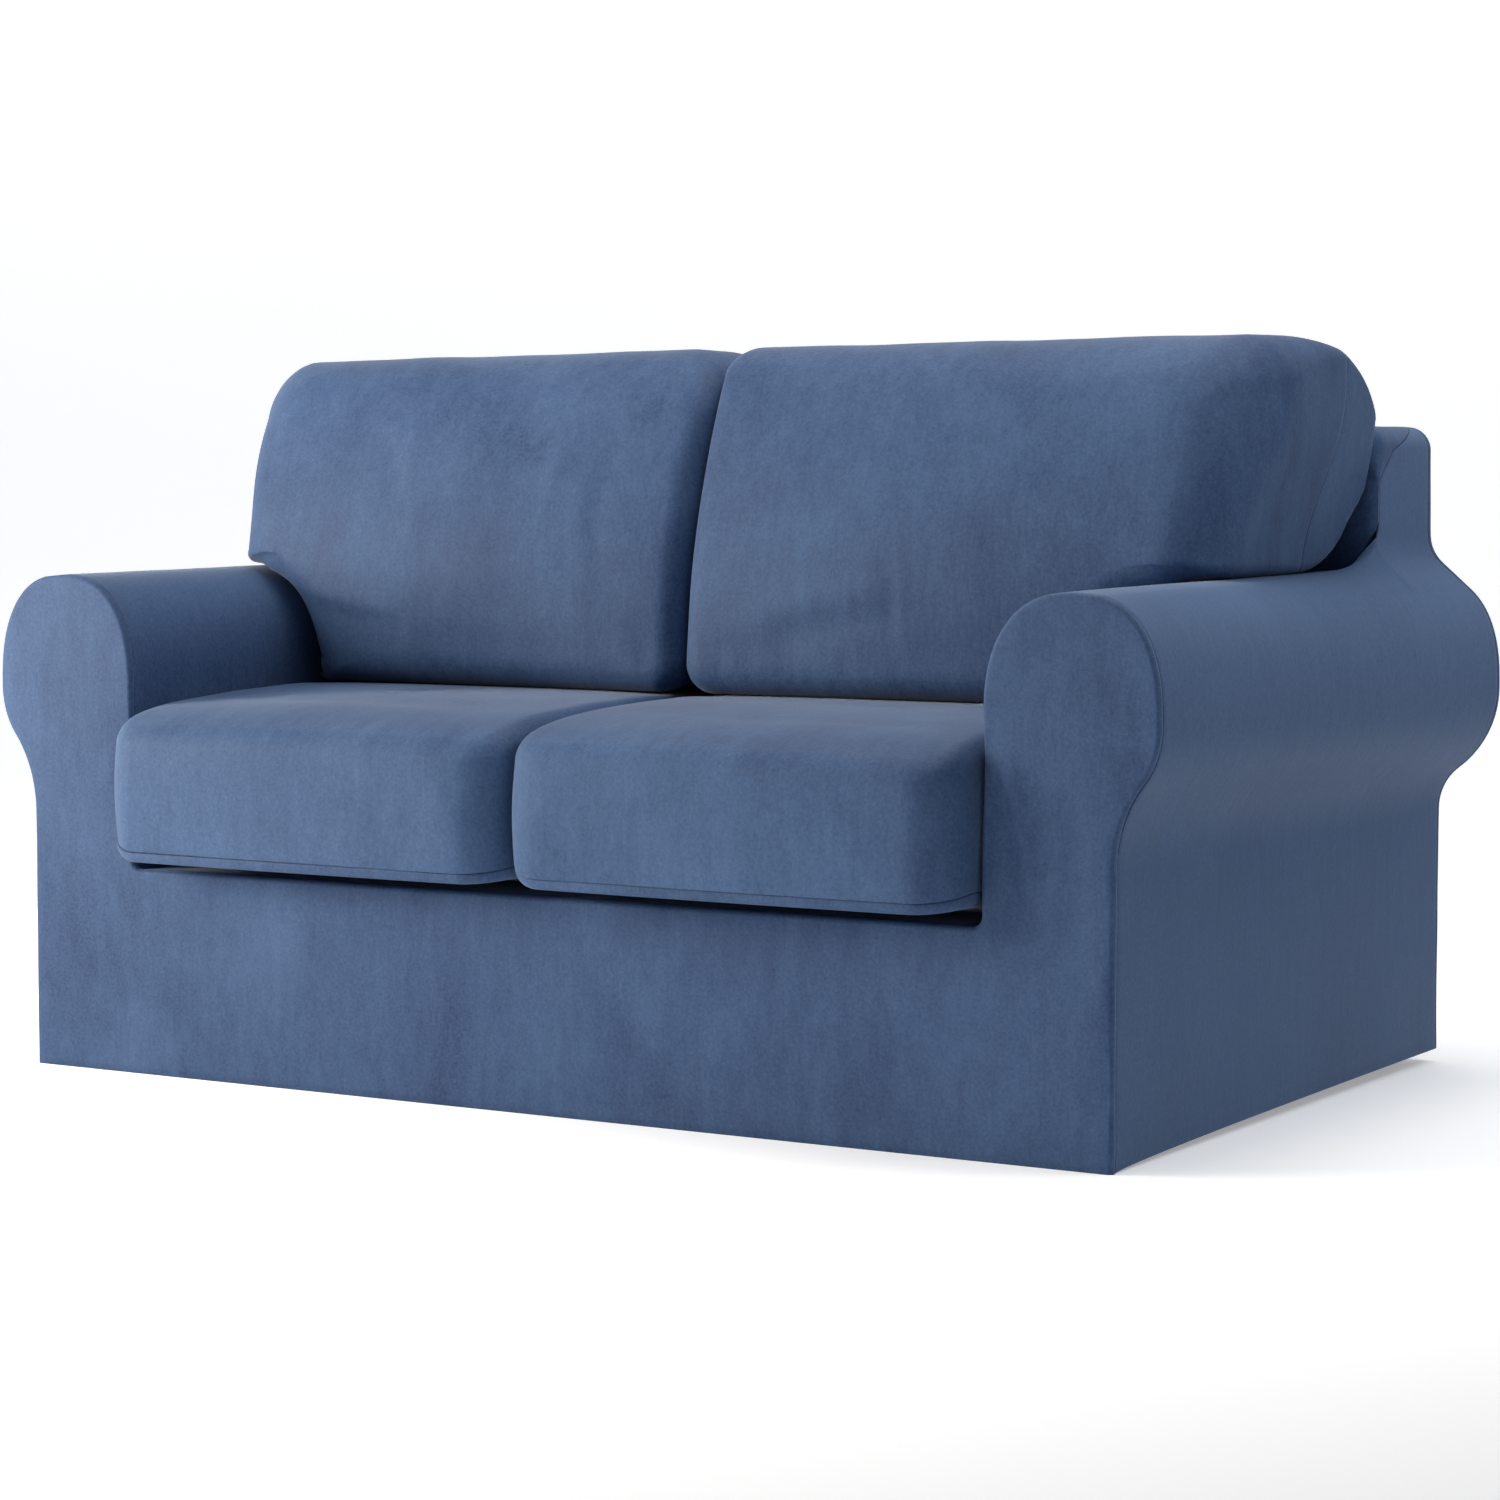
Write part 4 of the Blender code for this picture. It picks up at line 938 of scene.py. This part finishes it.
CUSHION_SEAM_Z = 0.200
CUSHION_HEM = (0.050, 0.120)
CUSHION_REAR_EDGE = 0.007
FACE_SPACING = 0.0095
REAR_COVER_SPACING = 0.02


def bend(y, start, height):
    """0 before the start, then a quarter of an ellipse that reaches its height past the rear."""
    share = max(0.0, y - start) / (CUSHION_REAR_Y + 0.002 - start)
    return height * (1 - math.sqrt(max(0.0, 1 - share * share)))


def arm_ledge(y):
    """Height of the underside where the cover lies on the arm."""
    return ROLL_Z + roll_values(y)[1] + CUSHION_LEDGE_GAP


def over_roll(y, beside, above, end_x, count):
    """The hollow of the underside that fits the arm's roll, from beside it to over its top."""
    outer, rise, power = roll_values(y)
    rise += bend(y, *CUSHION_LOW_BEND)
    inner = ROLL_X - ARM_INNER
    share = (end_x - ROLL_X) / ((outer if end_x > ROLL_X else inner) + above)
    last = math.acos(-math.copysign(abs(share) ** (power / 2), share))
    points = []
    for angle in steps(math.radians(CUSHION_LEDGE_START), last, count):
        gap = mix(beside, above, angle / last)
        lean = math.cos(angle)
        half = (inner if lean > 0 else outer) + gap
        across = math.copysign(abs(lean) ** (2 / power), lean)
        points.append((ROLL_X - half * across, ROLL_Z + (rise + gap) * math.sin(angle) ** (2 / power)))
    return points


def settle(point, side):
    """The filled cover settles: its top rises or sinks towards the outer end."""
    x, y, z = point
    low, over = CUSHION_TOP_RISE_Z
    rise = CUSHION_TOP_RISE[side] * x / CUSHION_X[1] * smooth((z - low) / over)
    return x, y, z + rise


def wing_low(z):
    """1 where the outer side is drawn in over the arm, 0 higher up."""
    low, over = CUSHION_WING_Z
    return 1 - smooth((z - low) / over)


def cushion_outline(side, y=0.0, around=0.0, inward=0.0):
    """The cover's outline from the front at a depth, anticlockwise from the middle of its bottom.

    around is 0 at the front and 1 from the seam on, where the outer corners are tight. inward is 0
    at the full outline and 1 at the front face. Each point comes with the depth of its front edge's
    rounding.
    """
    shrink = {name: size * inward for name, size in CUSHION_ROUND.items()}
    x0, x1 = CUSHION_X[0] + shrink["gap"], CUSHION_X[1] + CUSHION_WIDER[side] - shrink["outer"]
    z0, z1 = CUSHION_Z[0] + shrink["bottom"], CUSHION_Z[1] - shrink["top"] - bend(y, *CUSHION_TOP_BEND)
    top_in, low_in, low_arm, drop, top_out = (
        max(size - CORNER_SHRINK * inward, CUSHION_TIGHT) for size in CUSHION_CORNERS[side].values()
    )
    drop = mix(drop, CUSHION_TIGHT, around)
    top_out = mix(top_out, CUSHION_TIGHT, around)
    beside = CUSHION_BESIDE_ARM + shrink["arm"]
    tuck = CUSHION_WING_TUCK * (1 - inward)
    parts_of_hollow, inner_points = CUSHION_HOLLOW
    hollow = over_roll(y, beside, CUSHION_LEDGE_GAP + shrink["ledge"], x1 - tuck - drop, parts_of_hollow)
    arm_x, ledge = ARM_INNER - beside, hollow[-1][1]
    fit = min(1.0, CUSHION_FIT * (z1 - ledge) / (top_out + drop))
    top_out *= fit
    drop *= fit
    parts = [
        ([(x, z0) for x in steps(x0 + low_in, arm_x - low_arm, 40)], "bottom", "foot"),
        (arc((arm_x - low_arm, z0 + low_arm), (low_arm, low_arm), -90, 0, 10), "foot", "arm"),
        ([(arm_x, z0 + low_arm)] + hollow[:inner_points], "arm", "ledge"),
        (hollow[inner_points - 1:], "ledge", "wing"),
        (arc((x1 - tuck - drop, ledge + drop), (drop, drop), -90, 0, 12), "wing", "corner"),
        ([(x1 - tuck * wing_low(z), z) for z in steps(ledge + drop, z1 - top_out, 16)], "corner", "outer"),
        (arc((x1 - top_out, z1 - top_out), (top_out, top_out), 0, 90, 16), "outer", "top"),
        ([(x, z1) for x in steps(x1 - top_out, x0 + top_in, 50)], "top", "top"),
        (arc((x0 + top_in, z1 - top_in), (top_in, top_in), 90, 180, 10), "top", "gap"),
        ([(x0, z) for z in steps(z1 - top_in, z0 + low_in, 34)], "gap", "gap"),
        (arc((x0 + low_in, z0 + low_in), (low_in, low_in), 180, 270, 10), "gap", "bottom"),
    ]
    path, edges = [], []
    for points, start, end in parts:
        path += points[1:]
        count = len(points) - 1
        edges += [mix(CUSHION_ROUND[start], CUSHION_ROUND[end], i / count) for i in range(1, count + 1)]
    return path, edges


def cushion_face_y(x, z):
    """Depth of the front face, which leans back and swells towards its middle."""
    (x0, x1), (z0, z1) = CUSHION_X, CUSHION_Z
    across = (2 * x - x0 - x1) / (x1 - x0)
    up = (z - z0) / (z1 - z0)
    lean = CUSHION_LEAN[0] * (z - z0) + CUSHION_LEAN[1] * (z - z0) ** 2
    return CUSHION_FACE_Y + lean - CUSHION_CROWN * (1 - across ** 2) * math.sin(math.pi * min(max(up, 0), 1))


def cushion_hem(co):
    """Whether a point is at the free edge of the open underside."""
    return co.z < CUSHION_Z[0] + 0.011 and abs(co.x) < 0.56


def cushion_calm(co):
    """0 where the cover lies on the seat or against the back frame, 1 away from them."""
    return smooth((co.z - CUSHION_Z[0]) / 0.05) * smooth((0.31 - co.y) / 0.03)


def back_cover(side, face_finish, rear_finish, folds):
    ending = "right" if side > 0 else "left"
    path, edges = cushion_outline(side)
    count = len(path)
    normal = normals(path, closed=True)
    under = [n[1] < -0.5 and p[1] < CUSHION_Z[0] + 0.01 for p, n in zip(path, normal)]

    rows = []
    for turn in steps(0, 90, 10):
        inward = 1 - math.sin(math.radians(turn))
        back = 1 - math.cos(math.radians(turn))
        moved = cushion_outline(side, 0, 0, inward)[0]
        rows.append([(x, cushion_face_y(x, z) + e * back, z) for (x, z), e in zip(moved, edges)])
    seam = []
    for (x, z), is_under in zip(path, under):
        high = smooth((z - arm_ledge(0)) / CUSHION_SEAM_Z)
        seam.append(cushion_face_y(x, z) + CUSHION_HEM[0] if is_under else mix(*CUSHION_SEAM_Y, high))
    last = rows[-1]
    for share in (0.12, 0.24, 0.36, 0.48, 0.6, 0.72, 0.82, 0.9, 0.945, 0.97, 0.985, 1):
        row = []
        for i in range(count):
            y = mix(last[i][1], seam[i], share)
            x, z = cushion_outline(side, y, share)[0][i]
            row.append((x, y, z))
        rows.append(row)
    bm = bmesh.new()
    add_strip(bm, [[settle(point, side) for point in row] for row in rows], closed=True)
    face = cushion_outline(side, 0, 0, 1)[0]
    add_fill(bm, face, FACE_SPACING, lambda x, z: settle((x, cushion_face_y(x, z), z), side))
    middle = (0.35, 0.10, 0.70)
    cloth_panel(
        bm, "back_cover_face_" + ending, middle, face_finish, side, folds=folds,
        hems=cushion_hem, ripple=0.0018, quiet=cushion_calm,
    )

    rows = []
    rear_start = CUSHION_REAR_Y - CUSHION_REAR_EDGE
    for share in (0, 0.01, 0.02, 0.04, 0.08, 0.16, 0.28, 0.4, 0.52, 0.64, 0.76, 0.86, 0.94, 1):
        row = []
        for i in range(count):
            start = CUSHION_REAR_Y - CUSHION_HEM[1] if under[i] else seam[i] + SLANT_SEAM
            y = mix(start, rear_start, share)
            x, z = cushion_outline(side, y, 1)[0][i]
            row.append((x, y, z))
        rows.append(row)
    for turn in (30, 60, 90):
        y = rear_start + CUSHION_REAR_EDGE * math.sin(math.radians(turn))
        outline = cushion_outline(side, y, 1)[0]
        inward = CUSHION_REAR_EDGE * (1 - math.cos(math.radians(turn)))
        rows.append([(x, y, z) for x, z in inset(outline, normals(outline, closed=True), [inward] * count)])
    bm = bmesh.new()
    add_strip(bm, [[settle(point, side) for point in row] for row in rows], closed=True)
    rear = [(x, z) for x, _, z in rows[-1]]
    add_fill(bm, rear, REAR_COVER_SPACING, lambda x, z: settle((x, CUSHION_REAR_Y, z), side))
    cloth_panel(
        bm, "back_cover_rear_" + ending, middle, rear_finish, side,
        hems=cushion_hem, ripple=0.0006, quiet=cushion_calm,
    )


BACK_FOLDS_LEFT = [
    ([(-0.590, -0.095, 0.606), (-0.534, -0.117, 0.594), (-0.483, -0.121, 0.583), (-0.426, -0.121, 0.574)],
     0.010, 0.0030),
    ([(-0.575, -0.100, 0.585), (-0.534, -0.117, 0.575), (-0.483, -0.121, 0.565), (-0.440, -0.121, 0.559)],
     0.011, -0.0026),
    ([(-0.470, -0.075, 0.79), (-0.454, -0.085, 0.765), (-0.452, -0.095, 0.735)], 0.013, -0.0030),
    ([(-0.445, -0.06, 0.81), (-0.425, -0.07, 0.785), (-0.420, -0.09, 0.750)], 0.016, 0.0028),
    ([(-0.60, -0.02, 0.84), (-0.61, -0.06, 0.76), (-0.61, -0.08, 0.70)], 0.020, -0.0025),
    ([(-0.40, -0.09, 0.73), (-0.41, -0.11, 0.66)], 0.016, 0.0018),
    ([(-0.20, -0.04, 0.83), (-0.19, -0.07, 0.77), (-0.21, -0.10, 0.70)], 0.020, 0.0018),
    ([(-0.12, -0.06, 0.79), (-0.13, -0.10, 0.70), (-0.11, -0.12, 0.62)], 0.018, -0.0020),
    ([(-0.50, -0.12, 0.520), (-0.30, -0.12, 0.515), (-0.08, -0.12, 0.515)], 0.014, 0.0022),
    ([(-0.06, -0.12, 0.56), (-0.035, -0.11, 0.52)], 0.010, -0.0025),
    ([(-0.30, -0.12, 0.60), (-0.18, -0.12, 0.585)], 0.018, -0.0018),
]
BACK_FOLDS_RIGHT = [
    ([(0.10, -0.12, 0.575), (0.20, -0.12, 0.600), (0.32, -0.12, 0.620)], 0.020, 0.0026),
    ([(0.12, -0.12, 0.545), (0.22, -0.12, 0.565), (0.33, -0.12, 0.590)], 0.018, -0.0024),
    ([(0.30, -0.12, 0.655), (0.31, -0.12, 0.600), (0.305, -0.12, 0.545)], 0.007, -0.0018),
    ([(0.06, -0.115, 0.535), (0.075, -0.12, 0.505)], 0.008, -0.0025),
    ([(0.10, -0.115, 0.530), (0.115, -0.12, 0.500)], 0.008, -0.0022),
    ([(0.16, -0.12, 0.530), (0.165, -0.12, 0.502)], 0.009, -0.0020),
    ([(0.25, -0.12, 0.527), (0.245, -0.12, 0.500)], 0.009, -0.0016),
    ([(0.045, -0.12, 0.52), (0.30, -0.12, 0.512), (0.50, -0.12, 0.515)], 0.012, 0.0018),
    ([(0.55, -0.07, 0.72), (0.62, -0.05, 0.71), (0.69, 0.01, 0.72)], 0.030, -0.0024),
    ([(0.60, 0.0, 0.86), (0.66, 0.02, 0.82), (0.70, 0.03, 0.76)], 0.025, 0.0022),
    ([(0.30, -0.05, 0.82), (0.42, -0.07, 0.78), (0.50, -0.08, 0.72)], 0.030, 0.0018),
]
# The cushion faces' velvets carry painted light and shade: a little lighter overall, and a little darker
# from 0.50 m up.
back_cover(
    1, velvet("velvet_cushion_face_right", STROKES_UPRIGHT, 0.09, (4, 4, 1.5), (0.50, 0.68, -0.07)),
    velvet("velvet_cushion_rear_right", STROKES_OVER, 0.0, (2, 2, 8)), BACK_FOLDS_RIGHT,
)
back_cover(
    -1, velvet("velvet_cushion_face_left", STROKES_UPRIGHT, 0.04, (9, 1, 3), (0.50, 0.68, -0.09)),
    velvet("velvet_cushion_rear_left", STROKES_OVER, 0.0, (8, 3, 3)), BACK_FOLDS_LEFT,
)
